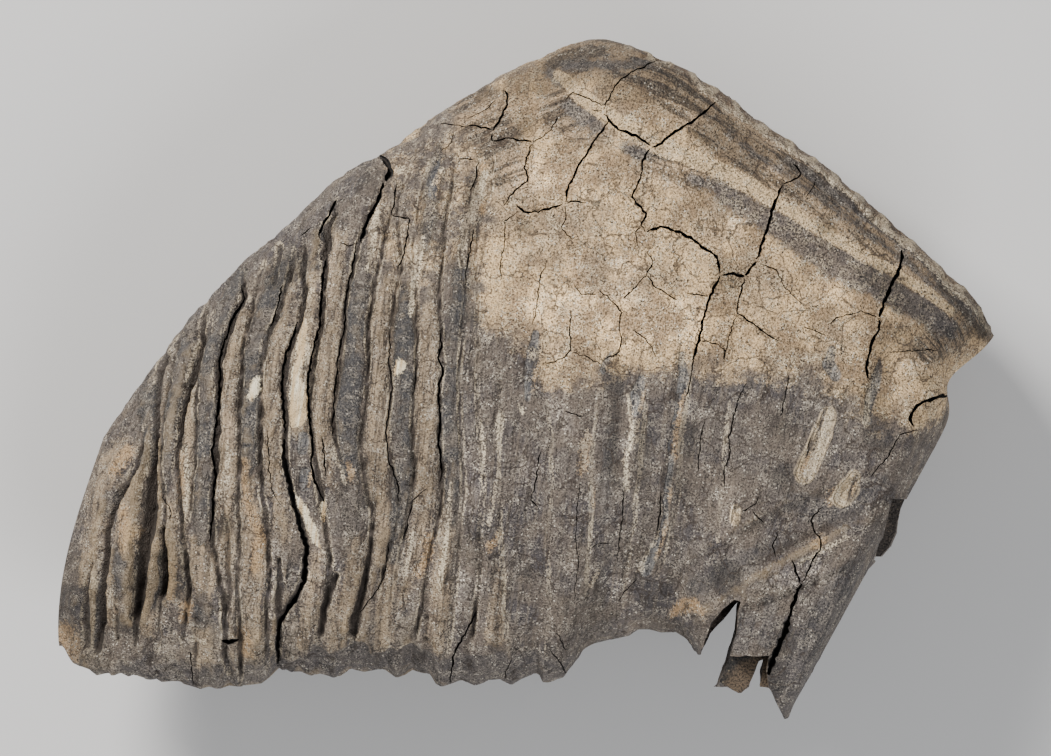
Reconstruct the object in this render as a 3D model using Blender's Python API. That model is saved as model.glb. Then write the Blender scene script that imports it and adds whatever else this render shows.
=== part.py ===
"""Fossil molar of a woolly mammoth, lying on its side.

A mammoth molar is a row of tall enamel plates glued together by cement. The plates stand from the
root (-Y) to the crown (+Y) and follow each other along the tooth (+X, from the unworn back end to
the worn front end). The tooth lies flat: its free side faces +Z and it rests on z = 0.

The side of the tooth is squared off in quarter millimetres (gx towards the front end, gy from the
crown down), so every outline below is real size.
"""

import bmesh
import bpy
import numpy as np

# ---------------------------------------------------------------- driving dimensions
MM = 0.001
GRID = 0.25 * MM                     # one square of the grid on the tooth's side
GRID_CENTRE = (526.0, 377.5)         # grid point over the part's origin
HALF_THICKNESS = 41.0 * MM           # half of the greatest thickness, across the plates
MIDDLE_HEIGHT = 39.6 * MM            # height of the tooth's middle plane above the rest plane
GROOVE_DEPTH = 2.4 * MM              # grooves between the plates at the unworn end
FOOT_GROOVE_DEPTH = 4.0 * MM         # how much deeper they get where the plates end at the root
TABLE_RIDGE = 0.8 * MM               # enamel ridges on the worn chewing surface
RING_POINTS = 40                     # points around one section

# Both ends of each plate boundary: where it meets the crown and where it ends at the root.
CROWN_LINE = [
    (104, 437), (160, 358), (205, 302), (243, 263), (292, 222), (343, 175), (395, 145),
    (442, 111), (490, 81), (540, 59), (594, 38), (641, 49), (682, 69), (726, 97),
    (775, 133), (825, 167), (872, 207), (925, 253), (972, 298), (995, 335),
]
ROOT_LINE = [
    (60, 648), (108, 672), (152, 679), (197, 687), (243, 687), (288, 671), (332, 676),
    (377, 672), (422, 674), (466, 682), (512, 683), (560, 675), (602, 637), (642, 628),
    (672, 632), (699, 666), (728, 700), (757, 714), (784, 718), (792, 706),
]
# Half thickness at each plate boundary, as a share of the greatest.
THICKNESS = [
    0.05, 0.46, 0.62, 0.74, 0.83, 0.90, 0.94, 0.97, 0.99, 1.0,
    1.0, 1.0, 0.99, 0.98, 0.96, 0.94, 0.91, 0.87, 0.80, 0.38,
]
WEAR_START = 10.6                    # plates past this one are worn down to the chewing surface
# Squares that the surface shifts along the tooth.
PLATE_BOW = 12.0                     # the unworn plates bow backwards halfway up
CORNER_OVERHANG = 22.0               # the front corner overhangs the front face under it
FAR_WALL_SHIFT = 14.0                # the front root's far wall stands out behind the near one
# Where the far side is rubbed flat, it is this much fuller, and its grooves are this much shallower.
REST_PLATE, REST_SPREAD = 7.0, 4.0
REST_FULLNESS = 0.035
REST_GROOVE_LOSS = 0.6

# Breaks, as outlines on the grid.
ROOT_NOTCH = [
    (700, 652), (709, 632), (738, 600), (735, 630), (728, 655), (717, 684), (690, 700), (676, 668),
]
ROOT_END = [
    (717, 684), (727, 684), (739, 691), (751, 682), (768, 685), (785, 718), (785, 745), (690, 745),
    (690, 700),
]
LOST_BACK_WALL = [
    (690, 640), (738, 600), (800, 578), (868, 557), (925, 557), (925, 740), (690, 740),
]
FLAP_GAP = [(890, 498), (882, 530), (873, 560), (915, 560), (915, 498)]
STUB_BREAK = [(708, 653), (768, 653), (765, 668), (770, 705), (700, 705)]
STUB_GAP = [(757, 658), (762, 656), (757, 700), (742, 705), (748, 684)]
BELOW, ABOVE = -10 * MM, 100 * MM    # heights clear of the tooth on both sides
FLAP_HEIGHT = 30 * MM                # the thin flap behind the front root is whole up to here
STUB_HEIGHT = 70 * MM                # and the root's broken stub up to here
# The hollow that the front root grew around, an egg with these half lengths.
PULP_CENTRE = (796, 628)
PULP_SIZE = (9.5 * MM, 27 * MM, 26 * MM)
PULP_TURN = np.radians(-27)
# Open cracks: the line, and the width and depth of its wedge.
MAIN_CRACK = [
    (300, 322), (286, 370), (287, 430), (286, 455), (297, 505), (309, 545), (304, 588), (281, 622),
    (279, 664),
]
CHIP_CRACK = [(376, 154), (388, 170), (380, 198), (364, 235), (357, 255), (347, 300)]
ROOT_CRACK = [(788, 557), (799, 583), (790, 605), (783, 630), (771, 655), (764, 676)]
MAIN_WIDTH, MAIN_DEPTH = 2.2 * MM, 9 * MM
CHIP_WIDTH, CHIP_DEPTH = 2.4 * MM, 7 * MM
ROOT_WIDTH, ROOT_DEPTH = 1.8 * MM, 9 * MM
WEDGE_HEADROOM = 4 * MM              # how far a wedge reaches above the surface that it cuts
WEDGE_POINT = 0.2                    # width of its deep edge, as a share of its width


def through(points, s):
    """Smooth curve through points numbered 0, 1, 2...: the cubic that leaves each one smoothly."""
    points = np.asarray(points, dtype=float)
    last = len(points) - 1
    i = np.clip(np.floor(s).astype(int), 0, last - 1)
    t = s - i
    if points.ndim > 1:
        t = t[..., None]
    before, start, end, after = (points[np.clip(i + k, 0, last)] for k in (-1, 0, 1, 2))
    return (
        start * (1 + 2 * t) * (1 - t) ** 2 + end * t * t * (3 - 2 * t)
        + (end - before) / 2 * t * (1 - t) ** 2 - (after - start) / 2 * t * t * (1 - t)
    )


def step(low, high, value):
    """Smooth step from 0 at low to 1 at high."""
    t = np.clip((value - low) / (high - low), 0, 1)
    return t * t * (3 - 2 * t)


def bump(value, centre, width):
    """Rounded bump of height 1 at centre."""
    return np.exp(-((value - centre) / width) ** 2)


def groove_depth(s, v):
    """Grooves between plates, and a lesser one down the middle of each plate.

    s is the plate number and v runs from the crown (0) to the root (1).
    """
    side = GROOVE_DEPTH * (1 - 0.85 * step(7.5, 12.0, s)) * step(0.0, 0.2, v)
    foot = FOOT_GROOVE_DEPTH * step(0.68, 0.90, v) * (1 - step(7.2, 9.5, s))
    ledge = 1 - 0.85 * step(0.93, 0.98, v)
    lines = bump(s - np.round(s), 0, 0.17) + 0.5 * bump(s - np.floor(s), 0.47, 0.15)
    return (side + foot) * lines * ledge


def tooth_surface(s, angle):
    """Points of the surface at plate number s and at an angle around its section.

    Angle 0 is the crown, a quarter turn the free side and half a turn the root. The section is a
    superellipse, round over unworn plates and square at the chewing surface.
    """
    c, d = np.cos(angle), np.sin(angle)
    worn = step(WEAR_START - 0.9, WEAR_START + 0.9, s)
    open_root = step(13.5, 15.0, s)
    crown_power = 2.0 + 5.0 * worn
    root_power = 3.0 + 2.0 * open_root
    power = root_power + (crown_power - root_power) * (1 + c) / 2
    reach = (np.abs(c) ** power + np.abs(d) ** power) ** (-1 / power)
    v = (1 - c * reach) / 2
    across = d * reach

    crown, root = through(CROWN_LINE, s), through(ROOT_LINE, s)
    grid = crown + (root - crown) * v[..., None]
    far_side = step(0.0, -0.3, across)
    grid[..., 0] -= PLATE_BOW * (1 - step(0, 9, s)) * np.sin(np.pi * v ** 1.3) ** 0.8
    grid[..., 0] -= CORNER_OVERHANG * step(17.3, 19.0, s) * bump(v, 0.12, 0.07)
    grid[..., 0] += FAR_WALL_SHIFT * step(18.0, 19.0, s) * bump(v, 0.56, 0.07) * far_side

    depth = 0.80 + 0.20 * step(0.0, 0.55, v) - 0.12 * step(0.7, 1.0, v) * (1 - open_root)
    rest = far_side * bump(s, REST_PLATE, REST_SPREAD)
    half = HALF_THICKNESS * through(THICKNESS, s) * depth * (1 + REST_FULLNESS * rest)
    points = np.stack([
        (grid[..., 0] - GRID_CENTRE[0]) * GRID,
        (GRID_CENTRE[1] - grid[..., 1]) * GRID,
        MIDDLE_HEIGHT + across * half,
    ], axis=-1)

    along = np.gradient(points, axis=0)
    around = np.roll(points, -1, axis=1) - np.roll(points, 1, axis=1)
    outward = np.cross(around, along)
    outward /= np.linalg.norm(outward, axis=-1, keepdims=True)
    ridges = TABLE_RIDGE * worn * (1 - step(0.0, 0.06, v)) * np.cos(4 * np.pi * s)
    relief = ridges - groove_depth(s, v) * (1 - REST_GROOVE_LOSS * rest)
    relief *= step(0.0, 0.5, s) * (1 - step(18.7, 19.0, s))
    points += outward * relief[..., None]
    # The far side is rubbed flat where it touches the ground.
    points[..., 2] = np.maximum(points[..., 2], 0)
    return points


def on_grid(outline):
    """Grid points as metres."""
    return [((gx - GRID_CENTRE[0]) * GRID, (GRID_CENTRE[1] - gy) * GRID) for gx, gy in outline]


def new_object(name, points, faces, collection):
    """A mesh object from points and faces, with all its faces turned outwards."""
    mesh = bpy.data.meshes.new(name)
    mesh.from_pydata(points, [], faces)
    shell = bmesh.new()
    shell.from_mesh(mesh)
    bmesh.ops.recalc_face_normals(shell, faces=shell.faces)
    shell.to_mesh(mesh)
    shell.free()
    made = bpy.data.objects.new(name, mesh)
    collection.objects.link(made)
    return made


def tooth_body(collection):
    """The whole tooth before its breaks, as one closed loft."""
    # Six sections to a plate where the plates stand out, five where they are worn, and close ones
    # where the two ends round over.
    s = np.concatenate([
        [0.0, 0.04, 0.12, 0.25], np.arange(3, 55) / 6, np.arange(46, 93) / 5,
        [18.6, 18.75, 18.88, 18.96, 19.0],
    ])
    angle = np.arange(RING_POINTS) * 2 * np.pi / RING_POINTS
    points = tooth_surface(*np.meshgrid(s, angle, indexing="ij"))
    index = np.arange(points[..., 0].size).reshape(len(s), RING_POINTS)
    near, far = index[:-1], index[1:]
    sides = [near, far, np.roll(far, -1, axis=1), np.roll(near, -1, axis=1)]
    faces = np.stack(sides, axis=-1).reshape(-1, 4).tolist()
    # Each end is closed by a ladder of faces from the free side to the far side.
    for ring in (index[0].tolist(), index[-1].tolist()):
        for j in range(RING_POINTS // 2):
            rung = [ring[j], ring[j + 1], ring[-j - 1], ring[-j]]
            faces.append(list(dict.fromkeys(rung)))
    return new_object("mammoth_tooth", points.reshape(-1, 3).tolist(), faces, collection)


def block(name, outline, low, high, collection):
    """A straight block over an outline, from height low to height high."""
    flat = on_grid(outline)
    count = len(flat)
    points = [(x, y, z) for z in (low, high) for x, y in flat]
    walls = [(j, (j + 1) % count, (j + 1) % count + count, j + count) for j in range(count)]
    ends = [list(range(count)), list(range(count, 2 * count))]
    return new_object(name, points, walls + ends, collection)


def crack_wedge(name, line, width, depth, body, collection):
    """A wedge along a crack: open above the surface of the body, a thin edge at its depth."""
    path = np.array(on_grid(line))
    ahead = np.gradient(path, axis=0)
    aside = np.stack([-ahead[:, 1], ahead[:, 0]], axis=-1)
    aside *= width / 2 / np.linalg.norm(aside, axis=-1, keepdims=True)
    height = [body.ray_cast((x, y, 1.0), (0, 0, -1))[1].z for x, y in path]
    top, bottom = np.array(height) + WEDGE_HEADROOM, np.array(height) - depth
    corners = [
        np.column_stack([path + share * aside, level])
        for share, level in ((1, top), (-1, top), (-WEDGE_POINT, bottom), (WEDGE_POINT, bottom))
    ]
    points = np.stack(corners, axis=1).reshape(-1, 3).tolist()
    faces = []
    for k in range(0, len(points) - 4, 4):
        faces += [(k + j, k + (j + 1) % 4, k + 4 + (j + 1) % 4, k + 4 + j) for j in range(4)]
    faces += [(0, 1, 2, 3), tuple(range(len(points) - 4, len(points)))]
    return new_object(name, points, faces, collection)


def pulp_cavity(collection):
    """The hollow that the front root grew around, open at the root's broken end."""
    shell = bmesh.new()
    bmesh.ops.create_uvsphere(shell, u_segments=20, v_segments=12, radius=1)
    bmesh.ops.scale(shell, vec=PULP_SIZE, verts=shell.verts)
    mesh = bpy.data.meshes.new("pulp_cavity")
    shell.to_mesh(mesh)
    shell.free()
    made = bpy.data.objects.new("pulp_cavity", mesh)
    made.location = (*on_grid([PULP_CENTRE])[0], MIDDLE_HEIGHT)
    made.rotation_euler.z = PULP_TURN
    collection.objects.link(made)
    return made


def cut(body, cutter):
    """Take the cutter away from the body."""
    cutter.hide_render = True
    cutter.display_type = "WIRE"
    modifier = body.modifiers.new(cutter.name, "BOOLEAN")
    modifier.operation = "DIFFERENCE"
    modifier.solver = "EXACT"
    modifier.object = cutter


def fossil_material():
    """Brown-grey fossil cement and enamel."""
    material = bpy.data.materials.new("fossil_tooth")
    material.use_nodes = True
    shader = material.node_tree.nodes["Principled BSDF"]
    shader.inputs["Base Color"].default_value = (0.20, 0.155, 0.115, 1.0)
    shader.inputs["Roughness"].default_value = 0.75
    shader.inputs["Metallic"].default_value = 0.0
    return material


for old in list(bpy.data.objects):
    bpy.data.objects.remove(old, do_unlink=True)

tooth_parts = bpy.data.collections.new("fossil_mammoth_tooth")
cutters = bpy.data.collections.new("cutters")
for made_collection in (tooth_parts, cutters):
    bpy.context.scene.collection.children.link(made_collection)

tooth = tooth_body(tooth_parts)
tooth.data.materials.append(fossil_material())
bpy.context.view_layer.update()

for breakage in (
    block("root_notch", ROOT_NOTCH, BELOW, ABOVE, cutters),
    block("root_end", ROOT_END, BELOW, ABOVE, cutters),
    block("lost_back_wall", LOST_BACK_WALL, BELOW, MIDDLE_HEIGHT, cutters),
    pulp_cavity(cutters),
    block("flap_gap", FLAP_GAP, FLAP_HEIGHT, ABOVE, cutters),
    block("stub_break", STUB_BREAK, STUB_HEIGHT, ABOVE, cutters),
    block("stub_gap", STUB_GAP, BELOW, ABOVE, cutters),
    crack_wedge("main_crack", MAIN_CRACK, MAIN_WIDTH, MAIN_DEPTH, tooth, cutters),
    crack_wedge("chip_crack", CHIP_CRACK, CHIP_WIDTH, CHIP_DEPTH, tooth, cutters),
    crack_wedge("root_crack", ROOT_CRACK, ROOT_WIDTH, ROOT_DEPTH, tooth, cutters),
):
    cut(tooth, breakage)

tooth.data.shade_smooth()
tooth.data.set_sharp_from_angle(angle=np.radians(35))
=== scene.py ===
"""Fossil molar of a woolly mammoth, lying on its side on a plain pale floor."""

import bmesh
import bpy
import numpy as np
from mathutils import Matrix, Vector
from mathutils.bvhtree import BVHTree


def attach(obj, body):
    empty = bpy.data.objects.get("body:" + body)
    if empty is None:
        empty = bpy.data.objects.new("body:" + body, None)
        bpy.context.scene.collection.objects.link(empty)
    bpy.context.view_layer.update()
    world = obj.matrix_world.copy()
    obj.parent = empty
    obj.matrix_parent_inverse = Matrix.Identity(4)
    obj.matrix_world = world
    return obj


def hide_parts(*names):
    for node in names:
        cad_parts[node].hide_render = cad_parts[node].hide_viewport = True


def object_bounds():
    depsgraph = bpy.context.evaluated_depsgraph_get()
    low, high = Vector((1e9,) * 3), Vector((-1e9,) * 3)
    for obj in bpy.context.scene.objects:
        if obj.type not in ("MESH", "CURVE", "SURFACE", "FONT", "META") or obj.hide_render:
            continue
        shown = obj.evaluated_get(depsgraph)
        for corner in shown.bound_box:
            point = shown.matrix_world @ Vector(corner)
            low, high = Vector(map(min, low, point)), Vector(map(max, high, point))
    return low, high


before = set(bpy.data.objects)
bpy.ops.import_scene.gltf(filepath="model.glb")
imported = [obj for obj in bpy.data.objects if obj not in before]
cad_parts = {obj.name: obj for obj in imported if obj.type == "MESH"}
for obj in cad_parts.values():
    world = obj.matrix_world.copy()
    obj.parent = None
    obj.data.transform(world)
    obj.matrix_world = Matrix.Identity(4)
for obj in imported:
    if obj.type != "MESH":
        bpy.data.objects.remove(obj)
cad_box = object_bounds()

# ================================================================== stage
# A pale studio table, one wide soft light over the crown side, a low fill from the root side and a
# weak even sky. The tooth lies flat, so the camera stands over it and looks straight down.
MM = 0.001
IMAGE_WIDTH = 1051               # pixels
GRID = 0.25 * MM                 # one square of the grid on the tooth's side
MIDDLE_HEIGHT = 39.6 * MM        # the tooth's middle plane, where one square is one pixel
CAMERA_HEIGHT = 4.0              # above the middle plane
TABLE_REACH = 3                  # from the tooth to the table's edges


def area_light(name, place, target, width, depth, power, colour):
    """A soft rectangular light at a place, turned to its target."""
    lamp = bpy.data.lights.new(name, "AREA")
    lamp.shape = "RECTANGLE"
    lamp.size, lamp.size_y = width, depth
    lamp.energy, lamp.color = power, colour
    light = bpy.data.objects.new(name, lamp)
    light.location = place
    light.rotation_euler = (Vector(target) - Vector(place)).to_track_quat("-Z", "Y").to_euler()
    bpy.context.scene.collection.objects.link(light)


def plain_material(name, colour, roughness):
    """A material of one colour."""
    material = bpy.data.materials.new(name)
    material.use_nodes = True
    shader = material.node_tree.nodes["Principled BSDF"]
    shader.inputs["Base Color"].default_value = (*colour, 1)
    shader.inputs["Roughness"].default_value = roughness
    return material


camera_data = bpy.data.cameras.new("camera")
camera_data.sensor_width = 36
camera_data.lens = camera_data.sensor_width * CAMERA_HEIGHT / (IMAGE_WIDTH * GRID)
camera_data.clip_end = 10
camera = bpy.data.objects.new("camera", camera_data)
camera.location = (0, 0, MIDDLE_HEIGHT + CAMERA_HEIGHT)
bpy.context.scene.collection.objects.link(camera)
bpy.context.scene.camera = camera

floor_mesh = bpy.data.meshes.new("floor")
floor_mesh.from_pydata(
    [(x * TABLE_REACH, y * TABLE_REACH, 0) for x, y in ((-1, -1), (1, -1), (1, 1), (-1, 1))],
    [], [(0, 1, 2, 3)]
)
floor_mesh.materials.append(plain_material("pale_floor", (0.62, 0.61, 0.60), 0.6))
floor = bpy.data.objects.new("floor", floor_mesh)
bpy.context.scene.collection.objects.link(floor)

area_light("crown_light", (-0.95, 1.10, 1.40), (0, 0, 0.04), 0.80, 0.55, 62, (1.0, 0.98, 0.95))
area_light("root_fill", (0.7, -1.2, 1.4), (0, 0, 0.04), 1.2, 0.8, 22, (0.95, 0.97, 1.0))
world = bpy.data.worlds.new("studio")
world.use_nodes = True
world.node_tree.nodes["Background"].inputs["Color"].default_value = (0.93, 0.96, 1.0, 1)
world.node_tree.nodes["Background"].inputs["Strength"].default_value = 0.38
bpy.context.scene.world = world

# ================================================================== body of the tooth
# A row of upright enamel plates, each a flat pocket of dentine, glued together by tan cement. The
# body is one skin: a section across the tooth for every step along it, from the unworn back end
# (plate 0) to the worn front end (plate 19). The sides are squared off in quarter millimetres.
GRID_CENTRE = (526.0, 377.5)
HALF_THICKNESS = 41.0 * MM
WEAR_START = 10.6                # plates past this one are worn down to the chewing surface
BACK_ROWS, FRONT_ROWS = 192, 130     # sections over the unworn and over the worn plates
FREE_RING, FAR_RING = 188, 36        # points around a section, on the free side and the far side
HALF_HEIGHT, HALF_DEPTH = 85, 38     # of a usual section, in mm, for spacing those points evenly

CROWN_LINE = [
    (104, 437), (160, 358), (205, 302), (243, 263), (292, 222), (343, 175), (395, 145),
    (442, 111), (490, 81), (540, 59), (594, 38), (641, 49), (682, 69), (726, 97),
    (775, 133), (825, 167), (872, 207), (925, 253), (972, 298), (995, 335),
]
ROOT_LINE = [
    (60, 648), (108, 672), (152, 679), (197, 687), (243, 687), (288, 671), (332, 676),
    (377, 672), (422, 674), (466, 682), (512, 683), (560, 675), (602, 637), (642, 628),
    (672, 632), (699, 666), (728, 700), (757, 714), (784, 718), (792, 706),
]
THICKNESS = [
    0.05, 0.46, 0.62, 0.74, 0.83, 0.90, 0.94, 0.97, 0.99, 1.0,
    1.0, 1.0, 0.99, 0.98, 0.96, 0.94, 0.91, 0.87, 0.80, 0.38,
]


def through(points, s):
    """Smooth curve through points numbered 0, 1, 2...: the cubic that leaves each one smoothly."""
    points = np.asarray(points, dtype=float)
    last = len(points) - 1
    i = np.clip(np.floor(s).astype(int), 0, last - 1)
    t = s - i
    if points.ndim > 1:
        t = t[..., None]
    before, start, end, after = (points[np.clip(i + k, 0, last)] for k in (-1, 0, 1, 2))
    return (
        start * (1 + 2 * t) * (1 - t) ** 2 + end * t * t * (3 - 2 * t)
        + (end - before) / 2 * t * (1 - t) ** 2 - (after - start) / 2 * t * t * (1 - t)
    )


def step(low, high, value):
    """Smooth step from 0 at low to 1 at high."""
    t = np.clip((value - low) / (high - low), 0, 1)
    return t * t * (3 - 2 * t)


def bump(value, centre, width):
    """Rounded bump of height 1 at centre."""
    return np.exp(-((value - centre) / width) ** 2)


def metres(gx, gy):
    """x and y in metres of a place on the grid: gx squares along it and gy squares down."""
    return (gx - GRID_CENTRE[0]) * GRID, (GRID_CENTRE[1] - gy) * GRID


def squares(points):
    """Squares along the grid and down it of points in metres."""
    return GRID_CENTRE[0] + points[..., 0] / GRID, GRID_CENTRE[1] - points[..., 1] / GRID


def tooth_section(s, angle):
    """Points of the smooth tooth, in metres, at plate number s and at an angle around it. With c and
    d the cosine and sine of the angle, the superellipse |c|^n + |d|^n = 1 gives v, from crown (0)
    to root (1), and across, from the far side (-1) to the free side (1). The power n is 2 over
    unworn plates and 7 at the chewing surface, whose edges are square."""
    c, d = np.cos(angle), np.sin(angle)
    worn = step(WEAR_START - 0.9, WEAR_START + 0.9, s)
    open_root = step(13.5, 15.0, s)
    crown_power = 2.0 + 5.0 * worn
    root_power = 3.0 + 2.0 * open_root
    power = root_power + (crown_power - root_power) * (1 + c) / 2
    reach = (np.abs(c) ** power + np.abs(d) ** power) ** (-1 / power)
    v = (1 - c * reach) / 2
    across = d * reach

    crown, root = through(CROWN_LINE, s), through(ROOT_LINE, s)
    gx, gy = np.moveaxis(crown + (root - crown) * v[..., None], -1, 0)
    far_side = step(0.0, -0.3, across)
    plate_bow = 12 * (1 - step(0, 9, s)) * np.sin(np.pi * v ** 1.3) ** 0.8
    corner_overhang = 22 * step(17.3, 19.0, s) * bump(v, 0.12, 0.07)
    far_wall_shift = 14 * step(18.0, 19.0, s) * bump(v, 0.56, 0.07) * far_side
    gx = gx - plate_bow - corner_overhang + far_wall_shift

    depth = 0.80 + 0.20 * step(0.0, 0.55, v) - 0.12 * step(0.7, 1.0, v) * (1 - open_root)
    rest = far_side * bump(s, 7.0, 4.0)
    half = HALF_THICKNESS * through(THICKNESS, s) * depth * (1 + 0.035 * rest)
    x, y = metres(gx, gy)
    return np.stack([x, y, MIDDLE_HEIGHT + across * half], axis=-1), v, across, rest


def even_angles(free, far):
    """Angles spaced evenly along a rounded oblong, first over the free side, then over the far
    side. The oblong is the superellipse |c|^3 + |d|^3 = 1, drawn out to a usual section's size."""
    fine = np.linspace(0, np.pi, 721)
    reach = (np.abs(np.cos(fine)) ** 3 + np.sin(fine) ** 3) ** (-1 / 3)
    up, out = HALF_HEIGHT * np.cos(fine) * reach, HALF_DEPTH * np.sin(fine) * reach
    side = np.hypot(np.diff(up), np.diff(out))
    length = np.concatenate([[0], np.cumsum(side)])
    near, away = (
        np.interp(np.linspace(0, length[-1], count, endpoint=False), length, fine)
        for count in (free, far)
    )
    return np.concatenate([near, np.pi + away])


lattice = np.random.default_rng(11).uniform(-1, 1, (64, 64, 64))


def noise(points, size, octaves=1):
    """Smooth noise of about -1 to 1 with waves of a size in metres: random values on a lattice,
    eased in between. Each further octave has half the size and half the strength."""
    total, strength = 0, 1.0
    for octave in range(octaves):
        place = points / size * 2 ** octave + 17.3 * octave
        low = np.floor(place).astype(int)
        part = place - low
        part = part * part * (3 - 2 * part)
        for corner in np.ndindex(2, 2, 2):
            weight = np.prod(np.where(corner, part, 1 - part), axis=-1)
            i, j, k = np.moveaxis((low + corner) % 64, -1, 0)
            total = total + strength * weight * lattice[i, j, k]
        strength *= 0.5
    return total


plate_rows = np.concatenate([
    [0.0, 0.02, 0.05, 0.09, 0.14], np.linspace(0.2, 10.5, BACK_ROWS),
    np.linspace(10.5, 18.7, FRONT_ROWS)[1:], [18.78, 18.85, 18.91, 18.96, 19.0],
])
s, angle = np.meshgrid(plate_rows, even_angles(FREE_RING, FAR_RING), indexing="ij")
skin, v, across, rest = tooth_section(s, angle)
far_side = step(0.0, -0.5, across)
worn = step(WEAR_START - 0.9, WEAR_START + 0.9, s)

# ================================================================== plates on the sides
# Where the cement has come off, the plates stand out as upright ridges with furrows between them:
# grey enamel fronts and tan cement crests by turns. Every line runs down the side, its points given
# as squares along and squares down, for a furrow after its depth in millimetres.
FURROWS = [
    (2.4, [(146, 425), (136, 466), (120, 492), (108, 515), (103, 540), (103, 570), (100, 605),
           (96, 632), (90, 656)]),
    (3.0, [(168, 345), (160, 372), (158, 395), (157, 440), (152, 475), (149, 505), (146, 535),
           (141, 562), (138, 592), (137, 615), (136, 655)]),
    (1.8, [(186, 318), (176, 345), (170, 370), (166, 400), (164, 440), (163, 475), (168, 502),
           (164, 532), (164, 570), (163, 600), (160, 625), (158, 655)]),
    (2.4, [(207, 300), (203, 325), (200, 345), (194, 368), (188, 390), (183, 425), (180, 455),
           (181, 500), (184, 532), (188, 562), (189, 592), (187, 612), (184, 650)]),
    (1.4, [(216, 312), (206, 340), (201, 362), (199, 395), (198, 425), (197, 460), (194, 490),
           (191, 520)]),
    (2.6, [(243, 270), (245, 298), (234, 318), (226, 342), (222, 360), (221, 400), (216, 440),
           (217, 480), (213, 515), (214, 545), (222, 575), (226, 605), (226, 645), (230, 682)]),
    (1.8, [(266, 262), (255, 295), (246, 335), (243, 380), (242, 420), (240, 470), (240, 560),
           (241, 640), (242, 684)]),
    (2.0, [(296, 248), (291, 275), (284, 298), (276, 318), (268, 345), (264, 380), (262, 420),
           (262, 460), (266, 505), (270, 545), (272, 585), (269, 625), (268, 672)]),
    (2.6, [(306, 238), (304, 262), (305, 292), (299, 322), (288, 355), (284, 385), (287, 415),
           (287, 455), (297, 505), (309, 545), (306, 580), (295, 600), (281, 622), (279, 668)]),
    (2.4, [(338, 196), (331, 215), (326, 240), (326, 262), (323, 325), (315, 350), (311, 380),
           (311, 410), (315, 445), (318, 472), (322, 500), (329, 530), (331, 565), (329, 595),
           (325, 615), (321, 648)]),
    (1.8, [(380, 190), (366, 225), (358, 242), (354, 270), (347, 300), (347, 325), (342, 345),
           (338, 380), (336, 410), (337, 440), (345, 470)]),
    (1.6, [(392, 200), (384, 240), (375, 280), (371, 320), (369, 350), (368, 400), (363, 440),
           (366, 480), (374, 512), (373, 550), (368, 575), (362, 600), (357, 625), (353, 650)]),
    (1.5, [(412, 160), (396, 205), (402, 262), (395, 300), (392, 330), (391, 360), (394, 390),
           (388, 430), (391, 460), (400, 490), (399, 515), (393, 545), (386, 570), (380, 600)]),
    (1.3, [(430, 160), (418, 210), (414, 250), (417, 290), (418, 330), (417, 365), (415, 400),
           (414, 440), (416, 470), (412, 500), (405, 538), (398, 570), (392, 612), (390, 640)]),
    (1.7, [(456, 160), (444, 230), (440, 300), (442, 340), (444, 368), (440, 390), (441, 425),
           (443, 470), (440, 512), (432, 545), (428, 572), (424, 600), (419, 622), (415, 645)]),
    (1.2, [(480, 160), (470, 200), (462, 250), (466, 290), (463, 330), (461, 360), (461, 400),
           (463, 440), (464, 480), (463, 520), (458, 560), (454, 600), (450, 648)]),
    (1.0, [(496, 150), (490, 190), (482, 215), (476, 240), (478, 300), (479, 360), (480, 420),
           (484, 480), (482, 540), (478, 600), (474, 648)]),
    (0.6, [(500, 360), (502, 420), (499, 480), (503, 550), (506, 610), (508, 650)]),
    (0.6, [(548, 400), (552, 470), (548, 540), (550, 600), (545, 650)]),
    (0.5, [(596, 400), (592, 460), (590, 530), (586, 600)]),
    (0.5, [(645, 400), (640, 470), (630, 540), (624, 600)]),
    (0.7, [(690, 350), (686, 400), (680, 440), (677, 500), (668, 540), (656, 575)]),
    (0.4, [(727, 400), (722, 470), (716, 540)]),
]
# Wide hollows between plates, mostly low down, each point with half its width.
TROUGHS = [
    (1.8, [(128, 484, 3), (112, 505, 3), (104, 530, 4), (103, 565, 5), (101, 600, 6), (96, 645, 5)]),
    (3.4, [(156, 440, 2), (152, 470, 7), (150, 500, 9), (147, 530, 8), (142, 560, 7), (139, 590, 7),
           (136, 618, 4)]),
    (3.4, [(163, 530, 2), (164, 550, 4), (164, 570, 5), (164, 596, 4)]),
    (1.6, [(202, 335, 3), (196, 360, 5), (189, 385, 5), (186, 400, 4), (182, 430, 2)]),
    (1.4, [(187, 555, 3), (189, 590, 4), (188, 604, 2)]),
    (1.2, [(228, 520, 2), (230, 560, 4), (232, 590, 4), (228, 615, 2)]),
    (1.6, [(281, 560, 3), (283, 590, 5), (281, 612, 4)]),
    (1.3, [(337, 575, 3), (332, 592, 5), (326, 608, 5), (322, 635, 4)]),
    (1.1, [(374, 540, 2), (369, 570, 4), (362, 600, 6), (357, 625, 6), (354, 638, 4)]),
    (0.6, [(424, 600, 2), (420, 618, 3), (416, 638, 3)]),
    (0.9, [(478, 600, 2), (476, 615, 3), (474, 636, 2)]),
    (2.0, [(334, 212, 3), (326, 226, 6), (328, 240, 6), (322, 255, 4)]),
    (1.0, [(281, 245, 3), (277, 270, 3), (275, 285, 2)]),
    (1.8, [(92, 560, 2), (86, 590, 4), (84, 620, 5), (86, 645, 3)]),
    (1.2, [(110, 585, 1), (116, 610, 3), (118, 640, 3)]),
]
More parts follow.
